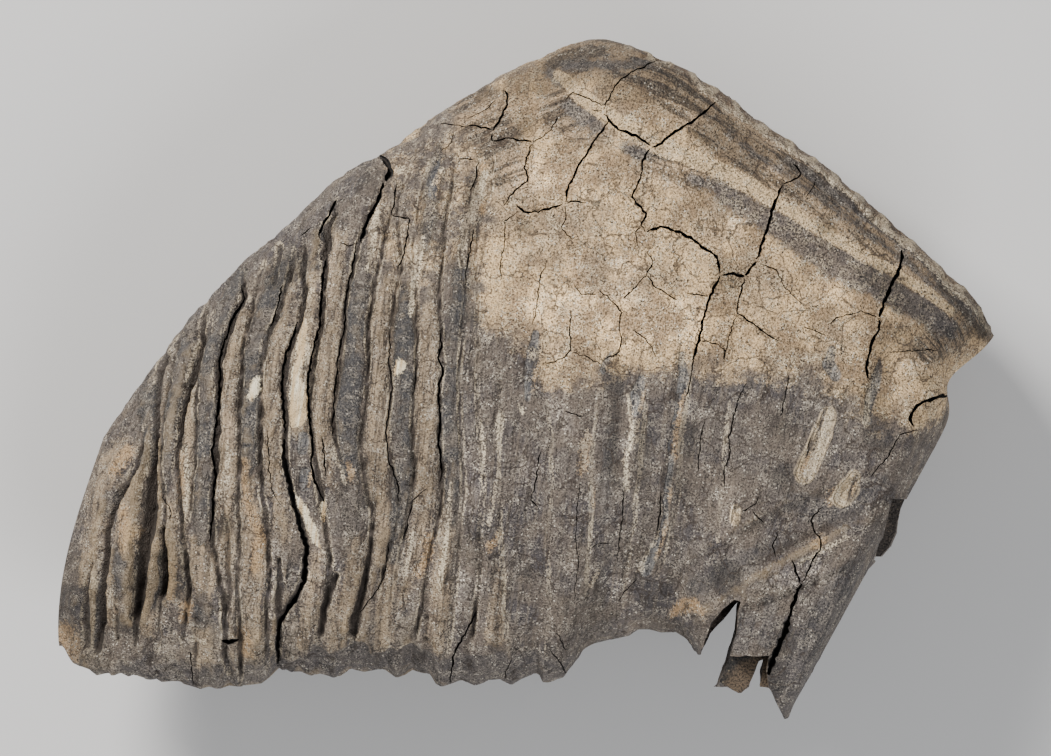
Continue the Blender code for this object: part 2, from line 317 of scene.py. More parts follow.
# Fronts of bare enamel and crests of cement, also with half widths.
GREY_PLATES = [
    [(158, 350, 3), (152, 380, 8), (150, 400, 9), (149, 440, 8), (148, 460, 4)],
    [(194, 318, 4), (187, 345, 8), (183, 365, 8), (178, 390, 9), (172, 420, 9), (170, 455, 8),
     (168, 490, 3)],
    [(242, 272, 4), (235, 295, 8), (226, 315, 9), (218, 335, 10), (211, 362, 11), (208, 420, 11),
     (206, 480, 10), (205, 515, 9), (204, 540, 3)],
    [(292, 246, 4), (285, 262, 8), (278, 285, 10), (270, 310, 12), (262, 335, 11), (255, 362, 11),
     (252, 410, 10), (251, 450, 9), (250, 480, 3)],
    [(333, 215, 6), (326, 235, 9), (325, 250, 7), (320, 268, 3)],
    [(366, 250, 3), (361, 280, 9), (359, 310, 11), (358, 340, 12), (354, 370, 12), (350, 400, 12),
     (349, 430, 12), (350, 460, 10), (352, 500, 8), (356, 530, 3)],
    [(406, 285, 3), (406, 330, 10), (405, 360, 10), (403, 430, 11), (403, 460, 10), (402, 490, 8),
     (398, 525, 7), (392, 560, 3)],
    [(455, 320, 4), (452, 345, 10), (450, 380, 10), (450, 420, 10), (452, 480, 9), (452, 520, 3)],
    [(466, 230, 3), (463, 260, 7), (461, 290, 8), (459, 320, 8), (457, 345, 7), (456, 370, 3)],
    [(440, 150, 4), (437, 170, 8), (434, 190, 8), (428, 225, 5), (426, 250, 2)],
    [(118, 545, 2), (120, 560, 7), (123, 578, 8), (122, 595, 3)],
    [(160, 555, 3), (157, 580, 6), (154, 604, 4)],
    [(206, 596, 6), (205, 606, 10), (205, 618, 8)],
    [(92, 590, 3), (88, 606, 8), (88, 620, 6)],
]
TAN_PLATES = [
    [(124, 440, 5), (112, 465, 12), (100, 500, 9), (90, 540, 7), (84, 580, 5)],
    [(140, 480, 7), (131, 510, 12), (126, 540, 12), (114, 575, 6), (112, 600, 8), (112, 625, 4)],
    [(168, 385, 2), (163, 410, 3), (161, 440, 3), (160, 470, 3), (163, 500, 3)],
    [(172, 505, 5), (172, 530, 7), (174, 560, 7), (175, 598, 5)],
    [(200, 345, 2), (194, 390, 6), (191, 420, 6), (189, 450, 7), (188, 490, 6), (187, 530, 3),
     (187, 560, 2)],
    [(200, 540, 8), (204, 560, 12), (206, 580, 12), (206, 596, 8)],
    [(246, 310, 4), (240, 330, 7), (234, 360, 10), (232, 390, 10), (229, 420, 9), (228, 450, 9),
     (228, 480, 9), (227, 510, 8), (228, 545, 6), (232, 570, 3)],
    [(290, 285, 5), (284, 305, 9), (277, 340, 10), (274, 370, 10), (273, 400, 10), (273, 430, 10),
     (275, 460, 8), (280, 500, 6), (286, 540, 4)],
    [(252, 480, 6), (252, 520, 10), (256, 560, 11), (256, 600, 9)],
    [(316, 262, 3), (312, 290, 6), (311, 310, 8), (304, 350, 10), (300, 400, 11), (302, 430, 8)],
    [(342, 235, 5), (337, 260, 9), (335, 290, 10), (331, 320, 11), (328, 350, 11), (326, 380, 11),
     (324, 400, 11), (324, 440, 8), (330, 480, 5)],
    [(384, 195, 3), (378, 215, 7), (375, 235, 7), (371, 262, 5)],
    [(390, 275, 5), (385, 300, 9), (382, 330, 11), (381, 390, 11), (380, 420, 11), (379, 450, 10),
     (382, 490, 9), (386, 530, 8), (384, 560, 7)],
    [(424, 235, 4), (420, 260, 5), (416, 285, 4), (414, 310, 4)],
    [(430, 310, 6), (429, 340, 11), (429, 380, 11), (427, 430, 11), (427, 470, 10), (424, 510, 8),
     (417, 540, 7), (410, 570, 7), (404, 600, 4)],
    [(488, 165, 3), (482, 190, 6), (475, 210, 7), (468, 230, 5), (464, 245, 3)],
    [(360, 540, 7), (353, 580, 9), (345, 610, 9), (338, 640, 9)],
    [(318, 555, 5), (314, 600, 7), (305, 640, 8)],
    [(395, 570, 7), (388, 600, 9), (384, 640, 9)],
    [(450, 480, 4), (448, 520, 5), (445, 560, 7), (440, 600, 9), (436, 640, 8)],
    [(500, 570, 4), (498, 610, 8), (495, 640, 8)],
    [(158, 540, 4), (154, 566, 4), (149, 600, 6), (148, 630, 6)],
    [(256, 610, 8), (254, 650, 9)], [(205, 630, 8), (206, 660, 9)],
]

gx, gy = squares(skin)
NOWHERE = -40.0                  # squares outside an edge, where no finish reaches
# Strokes waver a little, and more so on the far side, where nothing but the plates' run is the same.
waver = 1.6 + 7.0 * far_side
wavy_x = gx + waver * noise(skin, 7 * MM, 2) + 1.1 * noise(skin, 1.8 * MM)
wavy_y = gy + waver * noise(skin + 1.0, 9 * MM, 2)


def stroke(points):
    """A stroke's edge and swell, in squares: edge is the half width w less the distance d from the
    stroke's line, and swell is the height of a flat-topped bar, the root of w^2 - d^4 / w^2. A
    stroke of one point is a round spot."""
    edge, swell = np.full(gx.shape, NOWHERE), np.zeros(gx.shape)
    around = 2 - NOWHERE
    for (x0, y0, w0), (x1, y1, w1) in zip(points, points[1:] or points):
        near = (np.abs(wavy_x - (x0 + x1) / 2) < abs(x1 - x0) / 2 + around)
        near &= (np.abs(wavy_y - (y0 + y1) / 2) < abs(y1 - y0) / 2 + around)
        x, y = wavy_x[near] - x0, wavy_y[near] - y0
        squared = max((x1 - x0) ** 2 + (y1 - y0) ** 2, 0.1)
        t = np.clip((x * (x1 - x0) + y * (y1 - y0)) / squared, 0, 1)
        distance = np.hypot(x - t * (x1 - x0), y - t * (y1 - y0))
        width = w0 + (w1 - w0) * t
        edge[near] = np.maximum(edge[near], width - distance)
        bar = np.maximum(width ** 2 - distance ** 4 / (width ** 2 + 0.01), 0)
        swell[near] = np.maximum(swell[near], np.sqrt(bar))
    return edge, swell


def strokes(group):
    """The greatest edge and swell of a group of strokes."""
    edges, swells = zip(*(stroke(points) for points in group))
    return np.max(edges, axis=0), np.max(swells, axis=0)


def inside(outline):
    """Signed distance to a closed outline, in squares: positive inside, by the even-odd rule."""
    distance, within = np.full(gx.shape, 1e9), np.zeros(gx.shape, dtype=bool)
    for (x0, y0), (x1, y1) in zip(outline, outline[1:] + outline[:1]):
        x, y = wavy_x - x0, wavy_y - y0
        t = np.clip((x * (x1 - x0) + y * (y1 - y0)) / ((x1 - x0) ** 2 + (y1 - y0) ** 2), 0, 1)
        distance = np.minimum(distance, np.hypot(x - t * (x1 - x0), y - t * (y1 - y0)))
        crosses = (y0 > wavy_y) != (y1 > wavy_y)
        beyond = wavy_x < x0 + (wavy_y - y0) * (x1 - x0) / (y1 - y0 if y1 != y0 else 1)
        within ^= crosses & beyond
    return np.where(within, distance, -distance)


grey_edge, grey_swell = strokes(GREY_PLATES)
tan_edge, tan_swell = strokes(TAN_PLATES)
furrows, furrow_edge = np.zeros(gx.shape), np.full(gx.shape, NOWHERE)
for depth, line in FURROWS:
    edge, _ = stroke([(x, y, 0) for x, y in line])
    top, foot = line[0][1], line[-1][1]
    ends = step(top - 12, top + 25, wavy_y) * (1 - step(foot - 25, foot + 8, wavy_y))
    furrows = np.maximum(furrows, depth * ends * np.exp(-(-edge / 3.4) ** 1.2))
    furrow_edge = np.maximum(furrow_edge, edge + 1.3 * depth * ends - 2.0)
troughs, trough_edge = np.zeros(gx.shape), np.full(gx.shape, NOWHERE)
for depth, line in TROUGHS:
    edge, _ = stroke(line)
    troughs = np.maximum(troughs, depth * step(-3.0, 3.5, edge))
    trough_edge = np.maximum(trough_edge, edge)
plates = 0.050 * np.maximum(grey_swell, tan_swell) - 0.62 * furrows - troughs
# Where the furrows and troughs are, for the painted shade in them and the painted highlight beside them.
groove_edge = np.maximum(trough_edge - 2.5, np.minimum(furrow_edge, 2.0))

# Fainter plates all over, from their own spacing: a groove at each boundary and one inside it.
plate_lines = bump(s - np.round(s), 0, 0.15) + 0.5 * bump(s - np.floor(s), 0.47, 0.13)
side_groove = 2.0 * (1 - 0.85 * step(7.0, 11.0, s)) * step(0.0, 0.2, v)
foot_groove = 3.0 * step(0.68, 0.90, v) * (1 - step(7.2, 9.5, s))
ribs = (side_groove + foot_groove) * plate_lines * (1 - 0.6 * step(0.93, 0.98, v)) * (1 - 0.6 * rest)
drawn = step(0.05, 0.45, across)
plates = plates * (0.35 + 0.65 * step(-0.2, 0.3, across)) - ribs * (1 - 0.8 * drawn)

# ================================================================== crown, foot and front root
# The crown keeps its cement, worn smooth, with one pale band of bare cement along the chewing
# surface. At the foot the plates end in a pale ledge, and the front root grows out of a shoulder.
PALE_BAND = [
    (560, 78, 5), (580, 95, 8), (600, 111, 9), (628, 130, 8), (655, 146, 8), (690, 160, 8),
    (720, 171, 8), (749, 187, 8), (779, 206, 6), (808, 224, 5), (838, 241, 5), (867, 258, 5),
    (896, 275, 5), (926, 292, 5), (949, 312, 4),
]
DARK_BAND = [
    (690, 180, 2), (705, 184, 5), (720, 190, 9), (749, 210, 12), (764, 219, 14), (779, 227, 14),
    (808, 246, 15), (838, 263, 17), (867, 278, 15), (896, 296, 14), (926, 311, 13), (945, 327, 10),
]
RIM_GROOVES = [
    [(690, 100, 1), (720, 122, 1.5), (750, 146, 1)], [(640, 84, 1), (665, 96, 1.5), (690, 112, 1)],
    [(912, 262, 1), (940, 284, 1.5), (965, 306, 1)], [(780, 172, 1), (812, 192, 1.5), (840, 208, 1)],
    [(745, 140, 2), (770, 160, 2), (790, 180, 2), (820, 200, 2.5), (850, 218, 2.5), (880, 238, 2.5),
     (900, 250, 2)],
    [(818, 182, 1.5), (860, 210, 1.5), (895, 238, 1.5)],
]
SHOULDER = [
    (905, 500, 10), (880, 520, 14), (850, 538, 18), (815, 556, 20), (780, 574, 18), (745, 590, 14),
    (715, 604, 10), (695, 618, 8),
]
HOLLOW = [
    (880, 476, 12), (845, 500, 18), (800, 520, 22), (760, 540, 22), (720, 562, 20), (690, 580, 16),
    (660, 600, 10),
]
pale_band_edge, pale_band_swell = stroke(PALE_BAND)
dark_band_edge, _ = stroke(DARK_BAND)
rim_edge, _ = strokes(RIM_GROOVES)
_, shoulder_swell = stroke(SHOULDER)
_, hollow_swell = stroke(HOLLOW)

# The rim and the root have noise that is drawn out along them: the skin's own three directions, in
# plates, from crown to root and from side to side, take the place of metres.
along_rim = np.stack([s * 0.006, v * 0.22, across * 0.02], axis=-1)
rim_strip = worn * (1 - step(0.10, 0.16, v)) * step(0.2, 0.5, across)
crown = 0.055 * pale_band_swell - 0.5 * step(-2, 2, rim_edge) + 0.35 * rim_strip * noise(along_rim, 0.005, 3)
front_root = step(14.5, 15.5, s) * step(0.66, 0.74, v)
root_run = np.stack([s * 0.02, v * 0.01, across * 0.01], axis=-1)
root_flutes = front_root * 0.22 * noise(root_run, 0.0042, 3)
root = 0.085 * shoulder_swell - 0.065 * hollow_swell + root_flutes
ledge_run = step(276, 292, gx) * (1 - step(415, 470, gx)) * step(0.3, 0.5, across)
LEDGE_LINE = np.array([
    (276, 662), (290, 657), (305, 656), (312, 645), (318, 643), (333, 650), (346, 647), (354, 641),
    (364, 640), (372, 648), (385, 652), (393, 643), (410, 646), (430, 650), (470, 655),
], dtype=float)
ledge_down = gy - np.interp(gx, *LEDGE_LINE.T) + 4 * noise(skin, 3 * MM, 2)
ledge = -ledge_run * 1.3 * step(0, 7, ledge_down)
plate_ends = 0.9 * bump(s - np.floor(s), 0.55, 0.22) - 0.5 * bump(s - np.round(s), 0, 0.1)
ledge += plate_ends * step(0.84, 0.97, v) * (1 - step(10.5, 11.5, s))

# Gaps in the cement that bare the grey edge of a plate: long strips with one pale lip, and short
# leaves with a raised rim all round.
BARED_STRIPS = [
    [(682, 357, 5), (682, 384, 5), (676, 403, 3), (674, 430, 3)],
    [(671, 440, 3), (669, 470, 3), (666, 500, 3), (663, 524, 3), (655, 545, 5), (645, 570, 5)],
    [(829, 349, 4), (826, 364, 6), (833, 376, 6)],
    [(879, 362, 3), (874, 380, 5), (868, 400, 5), (865, 420, 4)],
    [(611, 353, 2), (606, 362, 4), (602, 371, 3)],
    [(537, 334, 4), (535, 352, 8), (531, 374, 6), (528, 398, 3)],
    [(640, 378, 4), (636, 394, 7), (634, 410, 5)],
    [(441, 160, 3), (437, 180, 5), (434, 196, 5)],
    [(305, 436, 5), (305, 450, 5)], [(308, 472, 5), (307, 486, 5)],
    [(592, 484, 2), (590, 508, 3)], [(768, 375, 1), (765, 385, 2)], [(850, 482, 3), (845, 494, 5)],
]
RIMMED_LEAVES = [
    [(826, 414, 6), (818, 438, 8), (808, 458, 9), (803, 472, 9)],
    [(851, 476, 5), (846, 488, 10), (839, 497, 8)],
    [(735, 506, 3), (734, 518, 4)],
]
bared_edge, _ = strokes(BARED_STRIPS)
rimmed_edge, _ = strokes(RIMMED_LEAVES)
lip_edge, _ = strokes([[(x + 0.9 * w, y, 1.2) for x, y, w in strip] for strip in BARED_STRIPS])
gap_relief = -0.25 * step(-1, 2, np.maximum(bared_edge, rimmed_edge)) + 0.2 * bump(rimmed_edge, -1, 1.8)

# The chewing surface: each plate shows as a long loop of hard enamel, with its dentine worn hollow
# inside and the cement worn down around it.
table = worn * (1 - step(0.006, 0.02, v)) * (1 - step(0.80, 0.90, np.abs(across)))
table *= 1 - step(18.6, 18.9, s)
from_plate = s - np.floor(s) - 0.5 + 0.07 * noise(skin, 7 * MM, 2) + 0.035 * noise(skin, 2 * MM, 2)
loop = np.sqrt((from_plate / 0.26) ** 2 + np.abs(across / 0.80) ** 6) - 1
enamel_loop = bump(loop, 0, 0.30)
inner = 1 - step(0.70, 0.82, np.abs(across))
chewing = table * (0.08 + 0.14 * inner) * (enamel_loop - 1.4 * (loop < 0) * (1 - enamel_loop))

# ================================================================== skin
# All the relief together, with the tooth's own unevenness and weathering, in millimetres along the
# skin's normal. It fades out over both ends, and the far side is rubbed flat where it rests.
uneven = 0.50 * noise(skin, 13 * MM, 2) + 0.16 * noise(skin, 3 * MM, 2)
weathered = 0.34 * noise(skin * (1, 0.35, 1), 2.0 * MM, 2) * (1 - step(4, 11, s))
foot_rough = 0.5 * step(0.94, 0.99, v) * noise(skin, 3.2 * MM, 2) * (1 - front_root)
chips = -0.5 * step(0.35, 0.75, noise(skin + 0.3, 2.6 * MM, 2)) * (1 - step(9, 12, s) * 0.6)
crumbs = 0.14 * noise(skin, 1.4 * MM, 2) + chips
crumbs -= 0.6 * step(0.1, 0.5, noise(skin + 0.7, 2.4 * MM, 2)) * worn * bump(v, 0.02, 0.025)
relief = plates + crown + root + ledge + gap_relief + chewing + uneven + weathered + foot_rough + crumbs
relief = relief * step(0.0, 0.5, s) * (1 - step(18.6, 19.0, s))

along = np.gradient(skin, axis=0)
around = np.roll(skin, -1, axis=1) - np.roll(skin, 1, axis=1)
outward = np.cross(around, along)
outward /= np.linalg.norm(outward, axis=-1, keepdims=True)
skin = skin + outward * relief[..., None] * MM

# The foot of every plate ends in a worn lobe: the lowest point of each section is brought to this line.
FOOT_LINE = np.array([
    (58, 647), (66, 655), (74, 663), (90, 669), (97, 675), (110, 672), (114, 675), (122, 672),
    (130, 676), (134, 674), (150, 679), (158, 678), (163, 681), (174, 680), (202, 688), (210, 686),
    (218, 689), (230, 685), (236, 686), (262, 683), (270, 677), (279, 668), (290, 671), (302, 671),
    (312, 675), (320, 673), (335, 677), (342, 675), (352, 668), (364, 671), (380, 668), (386, 669),
    (397, 677), (406, 674), (413, 669), (422, 672), (431, 673), (436, 682), (442, 686), (454, 682),
    (462, 679), (476, 685), (488, 680), (502, 679), (512, 684), (522, 678), (534, 673), (539, 672),
    (543, 681), (550, 682), (564, 676), (572, 666), (584, 649), (590, 644), (606, 640), (630, 635),
    (638, 629), (650, 629), (662, 632), (676, 631), (684, 636), (692, 643), (699, 651),
], dtype=float)
rows = np.arange(8, skin.shape[0])
lowest = np.argmin(skin[rows, :, 1], axis=1)
foot_x, foot_y = squares(skin[rows, lowest])
order = np.argsort(foot_x)
new_gx, _ = squares(skin)
to_line = np.interp(new_gx, *FOOT_LINE.T) - np.interp(new_gx, foot_x[order], foot_y[order])
to_line *= step(0.86, 0.99, v) * (1 - step(696, 704, new_gx)) * step(56, 66, new_gx)
skin[..., 1] -= np.clip(to_line, -14, 14) * GRID

# Nothing stands outside the tooth's measured box: its top is eased down, and it lies flat at 0.
easing = cad_box[1][2] - 1.0 * MM
proud = np.maximum(skin[..., 2] - easing, 0)
skin[..., 2] -= proud * (1 - 0.95 * MM / max(proud.max(), 0.95 * MM))
skin = np.clip(skin, cad_box[0], cad_box[1])

# Crests and hollows for the finish, which paints highlight on the crests and shade in the hollows: the
# relief less what it is on average around each point.
smoothed = relief
for _ in range(10):
    smoothed = (smoothed + np.roll(smoothed, 1, axis=1) + np.roll(smoothed, -1, axis=1)) / 3
    smoothed[1:-1] = (smoothed[1:-1] + smoothed[:-2] + smoothed[2:]) / 3
cavity = relief - smoothed

# ================================================================== weathering of the skin
# What time has left on the tooth: bare cement bleached tan over the crown, dark stain lower down,
# splinters of ivory dentine, ochre patches and whitish crests, with painted highlight on some crests
# and painted shade at some darker places. Each place is kept on the mesh as a distance to its edge,
# in squares, for the material to work its own ragged edge from.
PALE_ZONE = [                    # outline of the bleached cement over the crown and the front
    (452, 112), (470, 150), (484, 200), (482, 240), (490, 272), (482, 300), (500, 334), (522, 348),
    (545, 366), (558, 386), (588, 388), (600, 366), (618, 362), (640, 370), (680, 371), (760, 366),
    (800, 375), (835, 388), (858, 408), (890, 424), (915, 432), (948, 404), (1010, 330), (600, 20),
    (500, 70),
]
HALF_PALE = [                    # and of a paler part of the rest
    (395, 140), (470, 90), (520, 90), (490, 306), (452, 298), (430, 280), (400, 290), (385, 200),
]
FOOT_CRUST = [
    [(206, 628, 12), (206, 660, 16), (212, 676, 14)], [(248, 605, 8), (250, 640, 14), (248, 672, 14)],
    [(172, 640, 8), (170, 668, 8)], [(76, 640, 10), (92, 662, 10), (120, 668, 6)],
    [(297, 628, 10), (296, 648, 10)], [(338, 625, 6), (333, 644, 6)], [(382, 622, 8), (378, 642, 6)],
    [(408, 620, 6), (404, 640, 6)], [(443, 625, 8), (440, 645, 6)],
]
IVORY_SPLINTERS = [
    [(304, 318), (310, 320), (307, 342), (303, 366), (304, 382), (309, 396), (307, 420), (300, 427),
     (292, 425), (292, 400), (295, 375), (299, 345)],
    [(297, 490), (305, 500), (312, 515), (319, 530), (324, 549), (315, 542), (308, 525), (300, 506)],
    [(322, 500), (328, 500), (326, 520), (323, 520)],
    [(400, 358), (407, 364), (400, 376), (395, 371)],
    [(257, 378), (264, 376), (262, 390), (256, 400), (250, 396)],
]
OCHRE_PATCHES = [
    [(430, 535, 4), (428, 555, 5), (420, 575, 3)],
    [(587, 435, 3), (585, 460, 3), (582, 472, 2)],
    [(812, 452, 3), (804, 468, 4)],
    [(832, 488, 2), (829, 500, 3)],
    [(681, 397, 1), (677, 425, 2), (674, 455, 1.5)],
    [(484, 165, 4), (480, 190, 5)], [(484, 195, 3), (482, 210, 3)],
    [(246, 462, 4), (250, 500, 3), (262, 535, 5), (258, 570, 4)],
    [(184, 452, 3), (184, 490, 4)],
    [(126, 510, 5), (132, 530, 8), (127, 548, 4)],
    [(66, 630, 8), (72, 645, 9)],
    [(188, 605, 5), (186, 618, 4)],
    [(246, 632, 6), (248, 652, 5)],
    [(128, 452, 6), (118, 470, 5)],
    [(678, 612, 7), (696, 610, 8)],
    [(812, 543, 4), (820, 538, 3)],
    [(172, 565, 4), (173, 595, 4)],
    [(500, 535, 3), (491, 548, 3)],
    [(350, 462, 2), (352, 475, 3)],
]
# Pale crests, partly pale cement and partly painted highlight on ridge tops.
WHITE_CRESTS = [
    [(189, 445, 1), (190, 480, 1.5), (189, 505, 1), (184, 530, 1), (187, 565, 1.5), (192, 598, 1)],
    [(229, 440, 1.5), (228, 470, 2), (228, 505, 1.5)],
    [(221, 478, 0.5), (216, 510, 1), (217, 538, 0.5)],
    [(424, 238, 2), (420, 262, 3), (416, 285, 2), (412, 315, 2)],
    [(378, 215, 3), (375, 235, 4), (372, 255, 2), (370, 270, 2)],
    [(452, 480, 1), (449, 520, 2), (445, 560, 2.5), (440, 590, 1.5)],
    [(415, 530, 1), (411, 552, 2), (405, 572, 2)],
    [(313, 290, 2), (310, 312, 3), (317, 330, 1), (313, 380, 1), (314, 440, 1), (313, 462, 1)],
    [(309, 335, 2), (307, 365, 2), (309, 395, 1)],
    [(334, 445, 1), (340, 465, 1.5), (346, 482, 1)],
    [(483, 420, 1), (486, 450, 1), (481, 480, 1)],
    [(496, 480, 0.5), (493, 505, 1), (490, 522, 1)],
    [(502, 416, 3), (500, 442, 2)], [(520, 405, 2), (524, 412, 2)],
    [(586, 432, 3), (586, 445, 3), (583, 470, 1.5)],
    [(627, 393, 1.5), (629, 412, 2), (632, 428, 2), (630, 446, 2.5), (625, 458, 2), (627, 486, 2)],
    [(638, 415, 1), (636, 440, 2)],
    [(598, 570, 1.5), (590, 585, 2)],
    [(146, 566, 1.5), (143, 592, 1.5)], [(112, 590, 3), (110, 604, 3)], [(196, 640, 3), (206, 642, 3)],
    [(401, 168, 4), (405, 168, 4)], [(443, 172, 3), (436, 184, 1.5)],
    [(484, 176, 4), (479, 195, 5), (470, 214, 5), (465, 226, 3), (465, 250, 2)],
    [(829, 412, 3), (822, 436, 5), (812, 460, 5), (806, 472, 4)], [(866, 386, 2), (864, 424, 3)],
    [(838, 484, 2), (832, 498, 3), (846, 502, 2)],
    [(390, 644, 1), (412, 646, 1)],
    # The first of these runs along the shoulder's ridge: a painted highlight.
    [(784, 568, 0.5), (815, 549, 1.5), (845, 534, 1)], [(657, 530, 0.5), (648, 552, 1), (639, 570, 2)],
]
RIM_LINES = [                    # the pale line along the edge of the chewing surface
    [(700, 89, 2), (745, 119, 3), (775, 140, 3.5), (825, 174, 4), (872, 214, 4), (925, 260, 4),
     (968, 302, 4), (985, 328, 3)],
]
DARK_STAINS = [                  # grey-brown, along the rim, on the root and in patches
    [(730, 134, 2), (760, 158, 3), (817, 197, 3), (850, 222, 3), (886, 246, 3), (925, 280, 3),
     (950, 302, 3)],
    [(785, 160, 2), (840, 200, 2.5), (896, 240, 2.5), (940, 280, 3), (972, 314, 3)],
    [(850, 565, 9), (825, 610, 15), (800, 660, 15), (788, 700, 8)], [(745, 620, 11), (738, 645, 8)],
    [(768, 600, 6), (765, 640, 7)],
    [(568, 108, 6), (595, 125, 9)], [(550, 76, 5), (562, 84, 5)], [(628, 150, 6), (643, 156, 5)],
    [(568, 68, 6), (592, 66, 5), (650, 64, 5)],
    [(608, 430, 4), (606, 470, 5), (604, 520, 4)],
    [(790, 500, 10), (840, 515, 12), (880, 480, 8)], [(690, 590, 9), (740, 560, 10), (790, 538, 6)],
    [(115, 495, 5), (108, 508, 5)], [(150, 480, 7), (148, 530, 7)],
]
BLEACHED = [                     # places that are a little paler than those around them
    [(530, 305, 14), (560, 310, 18), (620, 316, 24), (680, 322, 20)], [(560, 350, 7)],
    [(622, 332, 14)], [(628, 400, 5), (626, 450, 5)], [(660, 172, 8), (682, 176, 5)],
    [(830, 284, 10)], [(625, 268, 10)], [(775, 172, 3)], [(225, 425, 9)],
    [(520, 175, 12), (570, 180, 7)], [(738, 225, 5)], [(672, 163, 5)], [(578, 272, 8)],
    [(222, 575, 9), (226, 605, 9)], [(275, 560, 8), (270, 605, 8)], [(326, 545, 10), (322, 585, 13)],
    [(470, 570, 9), (470, 600, 11), (476, 640, 10)], [(430, 530, 5), (427, 575, 8), (425, 630, 7)],
    [(475, 460, 8), (472, 500, 7)], [(392, 520, 5)], [(560, 400, 6), (570, 430, 8)], [(532, 470, 7)],
    [(437, 350, 3), (442, 420, 3)], [(725, 490, 9), (728, 530, 8)], [(328, 225, 8), (326, 300, 5)],
    [(618, 585, 9), (630, 615, 9)], [(782, 574, 5), (828, 572, 4)],
]
# Some of the darker places are painted shade: along the rim of the chewing surface, and in the hollow under
# the shoulder.
DARKENED = [                     # and places that are a little darker
    [(890, 290, 14), (930, 310, 16), (966, 326, 10)], [(880, 340, 8), (870, 400, 10), (878, 440, 10)],
    [(475, 318, 2)], [(520, 84, 11), (560, 72, 11)], [(610, 88, 10), (640, 100, 8)],
    [(700, 132, 7), (750, 164, 5)], [(72, 560, 9), (66, 620, 9), (95, 655, 9)],
    # Painted shade along the rim of the chewing surface.
    [(600, 48, 10), (660, 80, 9), (700, 106, 4), (780, 164, 1), (905, 262, 1), (955, 302, 6),
     (978, 328, 8)],
    [(526, 122, 6)], [(476, 180, 2), (473, 230, 3)], [(781, 474, 7)],
    [(540, 80, 13), (590, 64, 13), (640, 76, 12)], [(525, 228, 3)],
    [(826, 226, 4)],
    # The last of these is painted shade in the hollow under the shoulder.
    [(726, 278, 11)], [(778, 425, 10)], [(375, 475, 10)], [(425, 475, 6)], [(724, 576, 13)],
    [(528, 574, 3)], [(940, 322, 16), (915, 340, 12), (880, 330, 8)], [(66, 560, 14), (75, 620, 14)],
    [(275, 280, 10), (300, 262, 8)], [(875, 280, 11)], [(172, 540, 8), (176, 590, 8)],
    [(125, 626, 10)], [(98, 590, 4), (93, 645, 6)], [(140, 560, 5), (137, 610, 5)],
    [(163, 550, 4), (163, 600, 5)], [(673, 474, 10)], [(900, 335, 12), (935, 345, 8)],
    [(612, 372, 6), (618, 420, 4), (612, 480, 3)], [(642, 420, 4), (640, 480, 3)],
    [(686, 430, 6), (682, 490, 4)], [(373, 460, 4), (371, 500, 4)], [(225, 526, 8)],
    [(375, 178, 9)], [(922, 378, 2)], [(325, 276, 3)], [(783, 630, 5), (772, 680, 7)],
]
SHADED = [                       # the dark, layered rim of the chewing surface
    [(560, 66, 14), (600, 52, 16), (650, 72, 22), (700, 112, 22), (750, 150, 22), (800, 182, 22),
     (850, 215, 20), (905, 258, 17), (955, 300, 13), (985, 330, 10)],
    [(480, 110, 26), (500, 140, 24), (510, 180, 16)], [(590, 130, 18), (560, 110, 20)],
    [(640, 150, 12), (690, 180, 14)], [(950, 330, 18), (925, 350, 14)],
]
pale_edge = np.maximum(inside(PALE_ZONE), np.minimum(inside(HALF_PALE), -4.0))
crust_edge, _ = strokes(FOOT_CRUST)
bleached_edge, _ = strokes(BLEACHED)
darkened_edge, _ = strokes(DARKENED)
tint = step(-12, 7, bleached_edge) - step(-12, 7, darkened_edge)
shade_edge, _ = strokes(SHADED)
ivory_edge = np.max([inside(outline) for outline in IVORY_SPLINTERS], axis=0)
ochre_edge, _ = strokes(OCHRE_PATCHES)
white_edge, _ = strokes(WHITE_CRESTS + RIM_LINES)
stain_edge, _ = strokes(DARK_STAINS)
# Below the ledge at the foot, for its grey and the painted shade under the ledge.
foot_edge = np.where(across > 0.2, ledge_down, NOWHERE)


def closed_mesh(name, points, faces):
    """A closed mesh with its faces turned outwards."""
    mesh = bpy.data.meshes.new(name)
    mesh.from_pydata(points, [], faces)
    shell = bmesh.new()
    shell.from_mesh(mesh)
    bmesh.ops.recalc_face_normals(shell, faces=shell.faces)
    shell.to_mesh(mesh)
    shell.free()
    return mesh


def ring_faces(index):
    """Quads between the rings of a grid of point numbers, each row a ring closed on itself."""
    near, far = index[:-1], index[1:]
    sides = [near, np.roll(near, -1, axis=1), np.roll(far, -1, axis=1), far]
    return np.stack(sides, axis=-1).reshape(-1, 4).tolist()


def closed_skin(name, points):
    """Mesh of a skin: quads between its rings, and a ladder of faces over each end, from its free
    side to its far side."""
    rows, count = points.shape[:2]
    index = np.arange(rows * count).reshape(rows, count)
    faces = ring_faces(index)
    rungs = np.arange(FREE_RING + 1)
    away = (count - np.round(rungs * FAR_RING / FREE_RING).astype(int)) % count
    away[-1] = FREE_RING
    for ring in (index[0], index[-1]):
        ladder = np.stack([ring[rungs[:-1]], ring[rungs[1:]], ring[away[1:]], ring[away[:-1]]], axis=-1)
        faces += [list(dict.fromkeys(rung)) for rung in ladder.tolist()]
    faces = [face for face in faces if len(face) > 2]
    return closed_mesh(name, points.reshape(-1, 3).tolist(), faces)


def keep_on_mesh(mesh, name, values):
    """Keep a value of every point on the mesh's corners, where a cut leaves it right."""
    corner_points = np.empty(len(mesh.loops), dtype=np.int32)
    mesh.loops.foreach_get("vertex_index", corner_points)
    if values.ndim == 3:
        kept = mesh.attributes.new(name, "FLOAT_VECTOR", "CORNER")
        kept.data.foreach_set("vector", values.reshape(-1, 3)[corner_points].ravel())
    else:
        kept = mesh.attributes.new(name, "FLOAT", "CORNER")
        kept.data.foreach_set("value", values.ravel()[corner_points])


